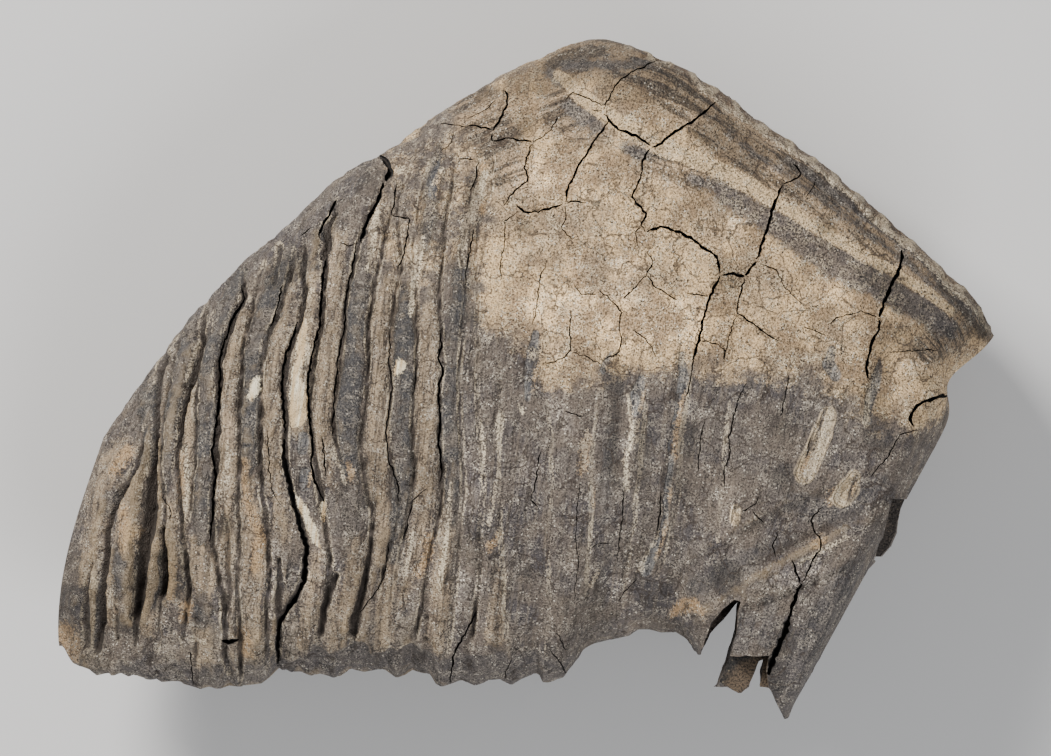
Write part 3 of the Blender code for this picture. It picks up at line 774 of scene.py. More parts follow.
tooth_mesh = closed_skin("tooth_skin", skin)
kept_fields = {
    "pale": pale_edge, "grey_plate": grey_edge, "tan_plate": tan_edge, "groove": groove_edge,
    "pale_band": pale_band_edge, "dark_band": dark_band_edge, "ivory": ivory_edge,
    "ochre": ochre_edge, "white": white_edge, "stain": stain_edge, "shade": shade_edge,
    "crust": crust_edge, "bared": bared_edge, "tint": tint, "lip": lip_edge,
    "rimmed": rimmed_edge, "foot": foot_edge, "cavity": cavity, "loop": loop, "table": table,
    "plate": np.stack([s, v, across], axis=-1),
}
for kept_name, kept_values in kept_fields.items():
    keep_on_mesh(tooth_mesh, kept_name, kept_values)
tooth = bpy.data.objects.new("tooth", tooth_mesh)
bpy.context.scene.collection.objects.link(tooth)

# ================================================================== cracks
# The drying tooth split along its plates, and its cement cracked into a net of plates over the
# crown. Each crack is a thin ragged wedge cut out of the skin. Width in squares, then the line.
CRACKS = [
    (3.4, [(300, 322), (288, 355), (284, 385), (287, 415), (287, 432)]),
    (6.0, [(287, 438), (286, 455), (291, 475), (297, 505), (309, 545), (306, 580), (295, 600),
           (281, 622), (279, 640), (279, 668)]),
    (7.0, [(374, 157), (384, 158), (391, 166), (391, 174), (386, 181)]),
    (4.5, [(385, 183), (380, 198), (368, 222), (362, 243)]),
    (2.0, [(398, 183), (393, 216), (411, 219), (409, 235), (405, 255), (399, 270)]),
    (1.6, [(342, 243), (350, 246), (357, 243)]),
    (2.2, [(358, 240), (354, 270), (347, 300), (347, 325), (342, 345), (338, 380), (336, 410),
           (334, 435)]),
    (3.2, [(338, 200), (330, 215), (322, 230), (320, 238)]),
    (1.5, [(301, 237), (307, 231), (315, 227)]),
    (3.2, [(329, 255), (324, 280), (322, 325), (315, 350), (310, 380), (311, 410), (315, 445),
           (313, 463), (319, 485), (327, 500)]),
    (2.2, [(284, 285), (281, 298), (276, 318), (272, 328)]),
    (3.0, [(243, 285), (246, 300), (232, 322), (226, 345), (222, 357), (222, 400), (215, 450),
           (218, 475), (213, 540)]),
    (1.8, [(392, 330), (391, 360), (394, 390), (387, 430), (391, 460), (400, 485), (400, 500)]),
    (1.8, [(325, 435), (326, 450), (328, 475)]),
    (1.4, [(417, 365), (418, 380), (414, 395)]),
    (1.6, [(428, 488), (414, 498), (412, 510), (405, 538)]),
    (2.8, [(441, 333), (443, 345), (440, 358), (445, 372), (440, 385), (441, 425), (440, 440),
           (443, 465), (442, 480)]),
    (1.8, [(479, 160), (476, 180), (470, 192)]),
    (1.8, [(475, 230), (467, 275), (466, 290)]),
    (1.4, [(270, 430), (272, 470), (275, 490), (285, 505)]),
    (1.4, [(165, 495), (174, 510), (173, 520)]),
    (1.8, [(657, 62), (633, 73), (618, 83), (611, 95), (603, 111)]),
    (1.4, [(591, 111), (602, 112)]),
    (1.6, [(602, 107), (585, 98), (573, 93), (565, 101)]),
    (3.0, [(604, 115), (618, 131), (637, 138), (650, 147)]),
    (3.2, [(651, 148), (658, 147), (668, 137), (692, 123), (704, 113), (715, 103)]),
    (2.6, [(609, 122), (602, 132), (592, 145), (575, 174), (567, 192), (566, 203)]),
    (2.4, [(563, 205), (541, 212), (526, 214), (517, 205)]),
    (1.8, [(567, 204), (575, 202), (586, 204)]),
    (1.4, [(565, 207), (567, 220), (561, 229), (573, 240)]),
    (2.2, [(468, 126), (480, 127), (492, 131)]),
    (2.6, [(493, 131), (500, 121), (508, 105), (508, 97), (505, 91)]),
    (2.2, [(493, 134), (493, 142), (510, 139), (532, 143)]),
    (1.6, [(533, 143), (545, 136), (552, 130), (558, 117)]),
    (2.0, [(532, 145), (527, 160), (525, 170), (530, 180), (515, 191), (505, 206)]),
    (1.4, [(520, 212), (505, 222), (506, 238), (501, 265), (502, 280)]),
    (2.6, [(649, 150), (642, 162), (640, 180), (631, 198), (646, 215), (640, 225), (645, 232)]),
    (3.4, [(646, 232), (660, 228), (674, 231), (690, 239), (716, 258), (719, 274)]),
    (1.6, [(640, 228), (635, 233), (637, 248)]),
    (1.8, [(646, 252), (653, 263), (645, 276), (635, 288), (622, 298)]),
    (1.6, [(647, 276), (655, 288), (677, 300)]),
    (1.4, [(574, 285), (580, 295), (596, 294)]),
    (1.8, [(598, 290), (610, 299), (621, 313), (618, 327), (622, 340), (618, 353), (603, 360)]),
    (1.4, [(548, 262), (541, 275), (537, 308), (533, 325)]),
    (1.3, [(455, 131), (452, 144), (441, 152)]),
    (1.5, [(440, 124), (450, 125), (467, 127)]),
    (1.3, [(460, 159), (476, 160)]),
    (2.2, [(792, 165), (801, 175), (795, 179), (782, 185)]),
    (3.4, [(781, 186), (772, 205), (768, 222), (755, 260)]),
    (3.2, [(755, 262), (744, 276)]),
    (2.0, [(743, 279), (739, 293), (735, 312), (748, 322), (777, 341)]),
    (4.0, [(721, 275), (730, 274), (743, 277)]),
    (3.0, [(719, 277), (708, 298), (702, 320), (698, 340), (691, 360)]),
    (1.5, [(684, 294), (700, 295), (707, 297)]),
    (1.5, [(699, 341), (715, 343), (723, 350), (722, 360)]),
    (1.5, [(758, 264), (776, 271), (781, 285), (799, 304)]),
    (4.2, [(900, 250), (901, 257), (895, 275), (887, 291), (880, 308), (877, 317)]),
    (3.2, [(877, 319), (878, 325), (868, 348), (864, 368), (865, 378)]),
    (1.4, [(876, 317), (860, 311), (836, 317), (826, 325)]),
    (1.3, [(888, 352), (911, 350), (935, 350)]),
    (1.3, [(802, 326), (818, 332), (823, 335)]),
    (4.5, [(949, 394), (940, 396), (925, 400), (912, 407), (908, 418), (911, 425)]),
    (1.6, [(915, 429), (897, 434), (885, 456), (868, 475)]),
    (1.3, [(816, 178), (810, 190), (803, 198)]),
    (2.0, [(820, 505), (810, 516), (810, 525), (818, 537), (818, 547), (808, 563), (800, 580)]),
    (2.6, [(790, 558), (798, 581)]),
    (4.5, [(799, 581), (795, 590), (789, 610), (787, 618)]),
    (7.5, [(787, 614), (783, 630), (773, 652), (767, 672)]),
    (1.6, [(740, 510), (755, 502), (757, 495)]),
    (1.5, [(750, 508), (762, 522)]),
    (1.6, [(776, 530), (771, 545), (773, 555)]),
    (1.4, [(787, 375), (783, 395), (780, 415)]),
    (1.6, [(745, 383), (736, 400), (727, 438), (729, 455), (722, 470), (724, 490)]),
    (1.4, [(735, 314), (727, 338), (722, 362)]),
    (1.6, [(571, 310), (570, 330), (571, 350), (565, 358), (545, 364)]),
    (1.3, [(573, 352), (590, 358), (600, 364)]),
    (1.4, [(633, 330), (648, 342), (656, 357)]),
    (1.6, [(541, 450), (534, 490), (530, 498), (538, 506)]),
    (1.4, [(565, 410), (583, 416)]),
    (1.8, [(660, 490), (659, 515), (657, 530)]),
    (1.6, [(391, 540), (385, 575), (378, 590), (362, 610)]),
    (2.2, [(477, 610), (470, 625), (455, 650), (450, 684)]),
    (1.4, [(512, 657), (507, 668), (506, 677)]),
    (1.6, [(550, 647), (558, 657), (566, 672)]),
    (1.6, [(192, 650), (195, 682)]),
    (1.3, [(580, 478), (577, 505), (576, 530), (578, 560), (574, 600)]),
    (1.6, [(623, 488), (622, 518), (618, 545), (617, 560)]),
    (1.3, [(637, 577), (624, 589), (618, 600)]),
    (1.2, [(591, 546), (598, 542), (612, 541)]),
    (1.4, [(703, 420), (699, 440), (697, 470)]),
    (1.6, [(693, 358), (689, 380), (685, 396)]),
    (1.2, [(808, 436), (806, 455)]),
    (1.4, [(556, 628), (562, 640), (566, 648)]),
    (1.2, [(497, 100), (484, 112), (470, 118)]),
    (5.0, [(224, 638), (231, 641), (241, 638)]),
]
CRACK_STEP = 3.5                 # squares between the sections of a crack
DEEPEST_CRACK = 4.5              # mm, so that none comes out at the other side of the root's wall
ROOM_BETWEEN = 2.5 * MM          # between two cracks that are cut together
CRACK_WALL, FRESH_BREAK_PAINTED_SHADE, OLD_BREAK = 1, 2, 3     # material slots of the faces that a cut leaves
crack_random = np.random.default_rng(5)


def resampled(line, place):
    """Points of a line at places along it, where a place runs from 0 to 1."""
    length = np.concatenate([[0], np.cumsum(np.hypot(*np.diff(line, axis=0).T))])
    return np.stack([np.interp(place * length[-1], length, line[:, axis]) for axis in (0, 1)], axis=-1)


def line_length(line):
    """Length of a line, in squares."""
    return np.hypot(*np.diff(line, axis=0).T).sum()


def open_on(side, place):
    """Height of the skin over a place, seen from the free side (1) or the far side (-1)."""
    x, y = place
    hit = tooth_tree.ray_cast(Vector((x, y, side)), Vector((0, 0, -side)))[0]
    return (hit or tooth_tree.find_nearest(Vector((x, y, MIDDLE_HEIGHT)))[0]).z


def crack_blade(width, line, side):
    """Corners of a crack's wedge, section by section: the line in even steps, set off sideways at
    random and tapered to half at both ends. It goes from 1 mm over the skin, where it is widest, to
    its depth, where it is about a quarter as wide."""
    line = np.array(line, dtype=float)
    count = max(3, int(line_length(line) / CRACK_STEP))
    place = np.linspace(0, 1, count + 1)
    path = resampled(line, place)
    ahead = np.gradient(path, axis=0)
    aside = np.stack([-ahead[:, 1], ahead[:, 0]], axis=-1) / np.linalg.norm(ahead, axis=-1, keepdims=True)
    path += aside * crack_random.uniform(-0.9, 0.9, (count + 1, 1))
    taper = np.minimum(1, 0.5 + 5 * np.minimum(place, 1 - place))
    half = width / 2 * taper * crack_random.uniform(0.55, 1.15, count + 1)
    depth = min(0.8 + 1.3 * width, DEEPEST_CRACK) * taper
    path = np.stack(metres(path[:, 0], path[:, 1]), axis=-1)
    aside = aside * (GRID, -GRID) * half[:, None]
    skin_height = np.array([open_on(side, point) for point in path])
    top, bottom = skin_height + side * MM, skin_height - side * depth * MM
    corners = [
        np.column_stack([path + share * aside, height])
        for share, height in ((1.1, top), (-1.1, top), (-0.3, bottom), (0.3, bottom))
    ]
    return np.stack(corners, axis=1)


def blades_mesh(name, blades):
    """One mesh of separate closed wedges, each four corners around and closed at both ends."""
    points, faces, first = [], [], 0
    for blade in blades:
        index = first + np.arange(blade.shape[0] * 4).reshape(-1, 4)
        faces += ring_faces(index) + [index[0, ::-1].tolist(), index[-1].tolist()]
        points += blade.reshape(-1, 3).tolist()
        first += blade.shape[0] * 4
    return closed_mesh(name, points, faces)


def cutter(mesh, slot):
    """An unseen object, whose cut leaves faces with the finish of a material slot."""
    for finish in finishes:
        mesh.materials.append(finish)
    mesh.polygons.foreach_set("material_index", np.full(len(mesh.polygons), slot, dtype=np.int32))
    made = bpy.data.objects.new(mesh.name, mesh)
    bpy.context.scene.collection.objects.link(made)
    return made


def cut_away(cutters):
    """Cut the cutters out of the tooth one after another, and remove them."""
    for made in cutters:
        modifier = tooth.modifiers.new(made.name, "BOOLEAN")
        modifier.operation, modifier.solver, modifier.object = "DIFFERENCE", "MANIFOLD", made
    depsgraph = bpy.context.evaluated_depsgraph_get()
    whole = tooth.data
    tooth.data = bpy.data.meshes.new_from_object(
        tooth.evaluated_get(depsgraph), preserve_all_data_layers=True, depsgraph=depsgraph
    )
    tooth.modifiers.clear()
    bpy.data.meshes.remove(whole)
    for made in cutters:
        bpy.data.objects.remove(made, do_unlink=True)


finishes = [bpy.data.materials.new(name) for name in (
    "fossil_skin", "crack_wall", "fresh_break_painted_shade", "old_break",
)]
for finish in finishes:
    tooth_mesh.materials.append(finish)
tooth_tree = BVHTree.FromPolygons(
    skin.reshape(-1, 3).tolist(), [list(face.vertices) for face in tooth_mesh.polygons]
)
# The far side has about a third of the cracks, moved on and a little narrower. Cracks that meet are
# cut one after the other, because wedges of one cut may not overlap.
far_cracks = [
    (width * 0.8, [(x + 24, y + 14) for x, y in line]) for width, line in CRACKS[::3] if len(line) > 3
]
layers = []
for side, cracks in ((1, CRACKS), (-1, far_cracks)):
    for width, line in cracks:
        blade = crack_blade(width, line, side)
        for layer in layers:
            others = np.concatenate(layer).reshape(-1, 3)
            gap = np.linalg.norm(blade.reshape(-1, 1, 3) - others, axis=-1).min()
            if gap > ROOM_BETWEEN:
                layer.append(blade)
                break
        else:
            layers.append([blade])
cut_away([cutter(blades_mesh(f"cracks_{n}", layer), CRACK_WALL) for n, layer in enumerate(layers)])

# ================================================================== broken front root
# The front root is a thin-walled tube that has lost its far wall and its end. What is left is a
# spur, a stub with the hollow of the pulp behind it, and the long front wall. Breaks are ragged.
BELOW, ABOVE = -10 * MM, 100 * MM    # heights clear of the tooth on both sides
FLAP_HEIGHT = 30 * MM                # the thin flap behind the front root is whole up to here
STUB_HEIGHT = 67 * MM                # and the root's broken stub up to here
NOTCH_FACE_HEIGHT = 56 * MM          # the notch is wider above here
BREAK_STEP, BREAK_RISE = 2.5, 1.5 * MM    # squares along a broken face and metres up it
PULP_CENTRE = (796, 628)
PULP_SIZE = (9.5 * MM, 27 * MM, 26 * MM)    # half lengths of the pulp's hollow, an egg
PULP_TURN = np.radians(-27)
ROOT_NOTCH = [
    (700, 652), (709, 632), (738, 600), (735, 630), (728, 655), (717, 684), (690, 700), (676, 668),
]
NOTCH_FACE = [(700, 652), (703, 638), (712, 619), (722, 606), (733, 597), (740, 599), (728, 640)]
ROOT_END = [
    (717, 684), (727, 684), (739, 691), (751, 682), (768, 685), (785, 718), (785, 745), (690, 745),
    (690, 700),
]
LOST_BACK_WALL = [(690, 640), (738, 600), (800, 578), (868, 557), (925, 557), (925, 740), (690, 740)]
FLAP_GAP = [(890, 498), (882, 530), (873, 560), (915, 560), (915, 498)]
STUB_BREAK = [(708, 653), (768, 653), (765, 668), (770, 705), (700, 705)]
STUB_GAP = [(757, 658), (762, 656), (757, 700), (742, 705), (748, 684)]


def ragged_block(name, outline, low, high):
    """Block over an outline, from height low to height high, in even steps around and up, and
    shaken by noise of 3 mm."""
    closed = np.array(outline + outline[:1], dtype=float)
    place = np.linspace(0, 1, int(line_length(closed) / BREAK_STEP), endpoint=False)
    heights = np.linspace(low, high, int((high - low) / BREAK_RISE))
    x, y = metres(*resampled(closed, place).T)
    wall = np.stack(np.broadcast_arrays(x, y, heights[:, None]), axis=-1)
    shake = [0.30 * noise(wall + 0.1 * axis, 3 * MM, 2) for axis in (1, 2, 3)]
    wall = wall + np.stack(shake, axis=-1) * MM
    index = np.arange(wall.shape[0] * wall.shape[1]).reshape(wall.shape[:2])
    faces = ring_faces(index) + [index[0].tolist(), index[-1].tolist()]
    return closed_mesh(name, wall.reshape(-1, 3).tolist(), faces)


def pulp_hollow():
    """An egg, ringed from pole to pole, turned along the root and shaken by noise of 4 mm. Its rings
    start and end a little off the poles, with a flat face."""
    near_pole = 0.06
    lift, turn = np.meshgrid(
        np.linspace(near_pole, np.pi - near_pole, 40), np.arange(64) * np.pi / 32, indexing="ij"
    )
    x, y = PULP_SIZE[0] * np.sin(lift) * np.cos(turn), PULP_SIZE[1] * np.sin(lift) * np.sin(turn)
    middle_x, middle_y = metres(*PULP_CENTRE)
    egg = np.stack([
        middle_x + x * np.cos(PULP_TURN) - y * np.sin(PULP_TURN),
        middle_y + x * np.sin(PULP_TURN) + y * np.cos(PULP_TURN),
        MIDDLE_HEIGHT + PULP_SIZE[2] * np.cos(lift),
    ], axis=-1)
    egg += 0.5 * MM * noise(egg, 4 * MM, 2)[..., None]
    index = np.arange(lift.size).reshape(lift.shape)
    faces = ring_faces(index) + [index[0].tolist(), index[-1].tolist()]
    return closed_mesh("pulp_hollow", egg.reshape(-1, 3).tolist(), faces)


cut_away([cutter(mesh, slot) for slot, mesh in (
    (OLD_BREAK, ragged_block("root_notch", ROOT_NOTCH, BELOW, ABOVE)),
    (OLD_BREAK, ragged_block("notch_face", NOTCH_FACE, NOTCH_FACE_HEIGHT, ABOVE)),
    (OLD_BREAK, ragged_block("root_end", ROOT_END, BELOW, ABOVE)),
    (OLD_BREAK, ragged_block("lost_back_wall", LOST_BACK_WALL, BELOW, MIDDLE_HEIGHT)),
    (OLD_BREAK, pulp_hollow()),
    (OLD_BREAK, ragged_block("flap_gap", FLAP_GAP, FLAP_HEIGHT, ABOVE)),
    (FRESH_BREAK_PAINTED_SHADE, ragged_block("stub_break", STUB_BREAK, STUB_HEIGHT, ABOVE)),
    (OLD_BREAK, ragged_block("stub_gap", STUB_GAP, BELOW, ABOVE)),
)])
tooth.data.shade_smooth()
tooth.data.set_sharp_from_angle(angle=np.radians(40))

# ================================================================== finish of the fossil
# Dry, matt cement with a fine wormy grain, bleached tan over the crown and stained brown-grey below,
# over smoother grey enamel. Painted shade darkens the grooves. Colours are as the eye sees them, of 255.


def seen(red, green, blue):
    """A colour of 255 as the shader takes it, by the usual power of 2.2."""
    return (*((np.array([red, green, blue]) / 255) ** 2.2).tolist(), 1.0)


def node(tree, kind, inputs=None, **settings):
    """A node with its settings; each input is a value or the socket that feeds it."""
    made = tree.nodes.new(kind)
    for setting, value in settings.items():
        setattr(made, setting, value)
    for socket, value in (inputs or {}).items():
        if isinstance(value, bpy.types.NodeSocket):
            tree.links.new(value, made.inputs[socket])
        else:
            made.inputs[socket].default_value = value
    return made


def sum_of(tree, *terms):
    """Sum of sockets and numbers, each a socket, a number or a (socket, factor) pair."""
    total = 0.0
    for term in terms:
        value, factor = term if isinstance(term, tuple) else (term, 1.0)
        total = node(
            tree, "ShaderNodeMath", {0: value, 1: factor, 2: total}, operation="MULTIPLY_ADD"
        ).outputs[0]
    return total


def product(tree, a, b):
    """Product of two sockets or numbers."""
    return node(tree, "ShaderNodeMath", {0: a, 1: b}, operation="MULTIPLY").outputs[0]


def ramp(tree, value, low, high, out_low=0.0, out_high=1.0):
    """Smooth step from out_low at low to out_high at high."""
    inputs = {"Value": value, 1: low, 2: high, 3: out_low, 4: out_high}
    return node(tree, "ShaderNodeMapRange", inputs, interpolation_type="SMOOTHSTEP").outputs[0]


def over(tree, factor, below, above, blend_type="MIX"):
    """One colour laid over another."""
    mixed = node(
        tree, "ShaderNodeMix", {0: factor, 6: below, 7: above}, data_type="RGBA", blend_type=blend_type
    )
    return mixed.outputs[2]


def two_tones(tree, value, low, high, first, second):
    """One colour where a noise is under low, another where it is over high, and a blend between."""
    return over(tree, ramp(tree, value, low, high), seen(*first), seen(*second))


def noise_texture(tree, place, size, detail=3.0, roughness=0.6):
    """Noise with waves of a size in the place's unit."""
    inputs = {"Vector": place, "Scale": 1 / size, "Detail": detail, "Roughness": roughness}
    return node(tree, "ShaderNodeTexNoise", inputs).outputs["Fac"]


def stretched(tree, place, stretch):
    """A place with each of its three axes times its stretch."""
    return node(tree, "ShaderNodeVectorMath", {0: place, 1: stretch}, operation="MULTIPLY").outputs[0]


def halfway_lines(tree, value, wide, narrow):
    """Mask of the lines where a noise passes one half: 0 from wide off it, and 1 from narrow."""
    off = node(tree, "ShaderNodeMath", {0: sum_of(tree, value, -0.5)}, operation="ABSOLUTE").outputs[0]
    return ramp(tree, off, wide, narrow)


def grain_group():
    """Grain of old cement: tone (grains of half a millimetre and the dark gaps between them, 0 to 1),
    cluster (how thick the pale crumbs lie), thread (wiggly pale crumbs), pit, fleck (single white
    ones), mottle (9 mm), cloud (15 mm), craze (a net of hairline cracks) and height (for the bump)."""
    group = bpy.data.node_groups.new("cement_grain", "ShaderNodeTree")
    group.interface.new_socket("Place", in_out="INPUT", socket_type="NodeSocketVector")
    for name in ("Tone", "Cluster", "Thread", "Pit", "Fleck", "Mottle", "Cloud", "Craze", "Height"):
        group.interface.new_socket(name, in_out="OUTPUT", socket_type="NodeSocketFloat")
    place = group.nodes.new("NodeGroupInput").outputs["Place"]
    end = group.nodes.new("NodeGroupOutput")
    fine = noise_texture(group, place, 0.46 * MM, detail=1.5, roughness=0.6)
    tone = ramp(group, fine, 0.28, 0.70)
    cluster = ramp(group, noise_texture(group, place, 3.0 * MM, detail=4, roughness=0.8), 0.42, 0.62)
    wormy = noise_texture(group, place, 1.5 * MM, detail=2, roughness=0.65)
    worms = halfway_lines(group, wormy, 0.040, 0.014)
    thread = product(group, worms, ramp(group, cluster, 0.25, 0.95, 0.06, 1.0))
    pit = ramp(group, fine, 0.36, 0.28)
    dots = node(
        group, "ShaderNodeTexVoronoi", {"Vector": place, "Scale": 1 / (1.1 * MM)}
    ).outputs["Distance"]
    fleck = product(group, ramp(group, dots, 0.25, 0.16), ramp(group, cluster, 0.0, 1.0, 0.2, 1.0))
    mottle = node(group, "ShaderNodeTexNoise", {"Vector": place, "Scale": 1 / (9 * MM), "Detail": 4})
    cloud = noise_texture(group, place, 15 * MM, detail=3)
    swayed = node(
        group, "ShaderNodeVectorMath", {0: mottle.outputs["Color"], 1: (12 * MM,) * 3, 2: place},
        operation="MULTIPLY_ADD"
    ).outputs[0]
    net = node(
        group, "ShaderNodeTexVoronoi", {"Vector": swayed, "Scale": 1 / (8 * MM)},
        feature="DISTANCE_TO_EDGE"
    ).outputs["Distance"]
    craze = product(group, ramp(group, net, 0.030, 0.008), ramp(group, mottle.outputs["Fac"], 0.43, 0.51))
    height = sum_of(group, (fine, 1.0), (cluster, 0.10), (fleck, 0.25), (thread, 0.25), (pit, -0.35))
    for name, value in (
        ("Tone", tone), ("Cluster", cluster), ("Thread", thread), ("Pit", pit), ("Fleck", fleck),
        ("Mottle", mottle.outputs["Fac"]), ("Cloud", cloud), ("Craze", craze), ("Height", height),
    ):
        group.links.new(value, end.inputs[name])
    return group


cement_grain = grain_group()


def start_finish(material):
    """The material's tree and shader, and the grain at every place on the object."""
    material.use_nodes = True
    tree = material.node_tree
    place = node(tree, "ShaderNodeTexCoord").outputs["Object"]
    grain = node(tree, "ShaderNodeGroup", {"Place": place}, node_tree=cement_grain)
    return tree, tree.nodes["Principled BSDF"], grain.outputs


def bumped(tree, shader, height, distance):
    """Feed a height, in the unit of distance, into the shader's normal."""
    bump_node = node(tree, "ShaderNodeBump", {"Height": height, "Distance": distance})
    tree.links.new(bump_node.outputs["Normal"], shader.inputs["Normal"])


def finish_skin(material):
    """The weathered skin: layers of colour, each laid over the ones before it, at places that are
    kept on the mesh."""
    tree, shader, grain = start_finish(material)

    def kept(name):
        """A value kept on the mesh."""
        return node(tree, "ShaderNodeAttribute", attribute_name=name).outputs["Fac"]

    def ragged(name, rag, soft):
        """Mask of a kept edge, in squares: ragged by the grain and soft over some squares."""
        edge = sum_of(tree, kept(name), (grain["Tone"], rag), (grain["Cluster"], rag), -0.8 * rag)
        return ramp(tree, edge, -soft, soft)

    def band(name, start, full, fading, end):
        """Mask of a kept value: it rises from start to full and falls from fading to end."""
        return product(tree, ramp(tree, kept(name), start, full), ramp(tree, kept(name), end, fading))

    def along_plates(waves, detail, roughness):
        """Noise drawn out along the plates, of some waves to a plate, some from crown to root and
        some from the middle to a side."""
        return noise_texture(tree, stretched(tree, plate, waves), 1, detail, roughness)

    def lay(mask, strength, above):
        """Lay a colour over the skin so far, at a mask's places and with a strength."""
        nonlocal colour
        colour = over(tree, product(tree, mask, strength), colour, above)

    # Streaks follow the plates: coarse fibres, hairline splits, most of them in the unworn plates, and
    # the layers of the worn rim, which run along the tooth.
    plate = node(tree, "ShaderNodeAttribute", attribute_name="plate").outputs["Vector"]
    plate_number = node(tree, "ShaderNodeSeparateXYZ", {0: plate}).outputs["X"]
    fibre = along_plates((9, 7, 5), 4, 0.6)
    rim_run = along_plates((0.5, 60, 2), 3, 0.65)
    split = halfway_lines(tree, along_plates((4.5, 4, 5), 5, 0.55), 0.016, 0.003)
    split = product(tree, split, ramp(tree, grain["Mottle"], 0.42, 0.5))
    split = product(tree, split, ramp(tree, plate_number, 12, 8.9, 0.25, 1))
    split = product(tree, split, ramp(tree, kept("pale"), -6, 4, 1.0, 0.15))

    # Brown-grey below and bleached tan above, each of several tones.
    dark = two_tones(tree, grain["Cloud"], 0.42, 0.58, (73, 68, 68), (92, 84, 78))
    dark = over(tree, ramp(tree, grain["Mottle"], 0.40, 0.58, 0.55, 0), dark, seen(98, 86, 74))
    dark = over(tree, ramp(tree, fibre, 0.50, 0.66, 0, 0.45), dark, seen(116, 104, 90))
    pale = two_tones(tree, grain["Mottle"], 0.40, 0.60, (133, 110, 83), (198, 166, 123))
    pale = over(tree, ramp(tree, grain["Cloud"], 0.52, 0.38, 0, 0.5), pale, seen(130, 113, 93))
    pale = over(tree, ramp(tree, fibre, 0.50, 0.34, 0, 0.35), pale, seen(114, 95, 77))
    pale_place = sum_of(tree, kept("pale"), (grain["Mottle"], 60), -30, (grain["Cluster"], 12), -6)
    in_pale = ramp(tree, pale_place, -14, 12)
    colour = over(tree, in_pale, dark, pale)

    # The layers of the rim, the crust at the foot, tan crests and smooth grey enamel, with streaks.
    shade_place = sum_of(tree, kept("shade"), (grain["Mottle"], 24), -12)
    in_shade = ramp(tree, shade_place, -10, 6, 0, 0.85)
    worn_rim = two_tones(tree, rim_run, 0.45, 0.56, (44, 37, 32), (146, 124, 98))
    colour = over(tree, in_shade, colour, worn_rim)
    lay(ragged("crust", 8, 6), 0.7, seen(142, 129, 112))
    crest = two_tones(tree, fibre, 0.40, 0.60, (108, 93, 76), (155, 134, 107))
    lay(ragged("tan_plate", 5, 4), 0.75, crest)
    grey = two_tones(tree, grain["Mottle"], 0.44, 0.60, (54, 53, 54), (86, 78, 71))
    grey_plate = ragged("grey_plate", 4, 2)
    lay(grey_plate, 0.92, grey)
    streak = sum_of(tree, (in_pale, -0.5), (grey_plate, -0.2), 0.62)
    lay(ramp(tree, fibre, 0.46, 0.37), streak, seen(58, 50, 43))

    # Stains, the dark and the pale band along the chewing surface, and the darker band below the ledge at
    # the foot: its own grey, with painted shade under the ledge.
    stain = ragged("stain", 5, 3)
    lay(stain, 0.85, two_tones(tree, fibre, 0.42, 0.58, (64, 61, 61), (92, 86, 82)))
    dark_band = ragged("dark_band", 5, 3)
    lay(dark_band, 0.9, seen(78, 72, 70))
    lay(ragged("pale_band", 1.5, 1.2), 0.9, seen(186, 160, 122))
    lay(ramp(tree, kept("foot"), -2, 3), 0.6, seen(82, 77, 76))

    # Gaps in the cement, with streaks of grey inside and pale lips. Ochre patches, and white crests that
    # are partly painted highlight.
    bared = ramp(tree, kept("bared"), -1.0, 1.0)
    lay(bared, 0.85, two_tones(tree, fibre, 0.40, 0.62, (60, 60, 63), (118, 116, 113)))
    leaf = ramp(tree, kept("rimmed"), -0.5, 1.0)
    lay(leaf, 0.9, two_tones(tree, fibre, 0.40, 0.54, (78, 69, 60), (192, 168, 132)))
    lay(ragged("ochre", 4, 2.5), 0.65, seen(170, 137, 96))
    white = two_tones(tree, fibre, 0.42, 0.58, (150, 134, 113), (206, 190, 162))
    lay(ragged("white", 2, 1.0), ramp(tree, grain["Tone"], 0.1, 0.6, 0.35, 0.95), white)
    rim_streaks = ramp(tree, sum_of(tree, fibre, (grain["Cluster"], 0.12)), 0.44, 0.60, 0.3, 0.85)
    rim = product(tree, band("rimmed", -2.8, -1.4, -0.4, 1.0), rim_streaks)
    colour = over(tree, rim, colour, seen(196, 174, 142))
    lip = product(tree, ragged("lip", 1.5, 1.0), ramp(tree, grain["Mottle"], 0.42, 0.55))
    lay(lip, 0.75, seen(190, 160, 122))

    # Painted highlight on the edges beside the furrows, and the loops of enamel on the chewing surface.
    edges = ramp(tree, sum_of(tree, fibre, (grain["Tone"], 0.2)), 0.50, 0.70)
    edges = product(tree, edges, ramp(tree, grain["Mottle"], 0.42, 0.56, 0.15, 0.8))
    lay(band("groove", -4.2, -3.2, -2.2, -1.4), edges, seen(186, 170, 144))
    lay(kept("table"), 0.8, seen(92, 74, 56))
    lay(kept("table"), band("loop", -0.28, -0.1, 0.25, 0.45), seen(160, 144, 120))

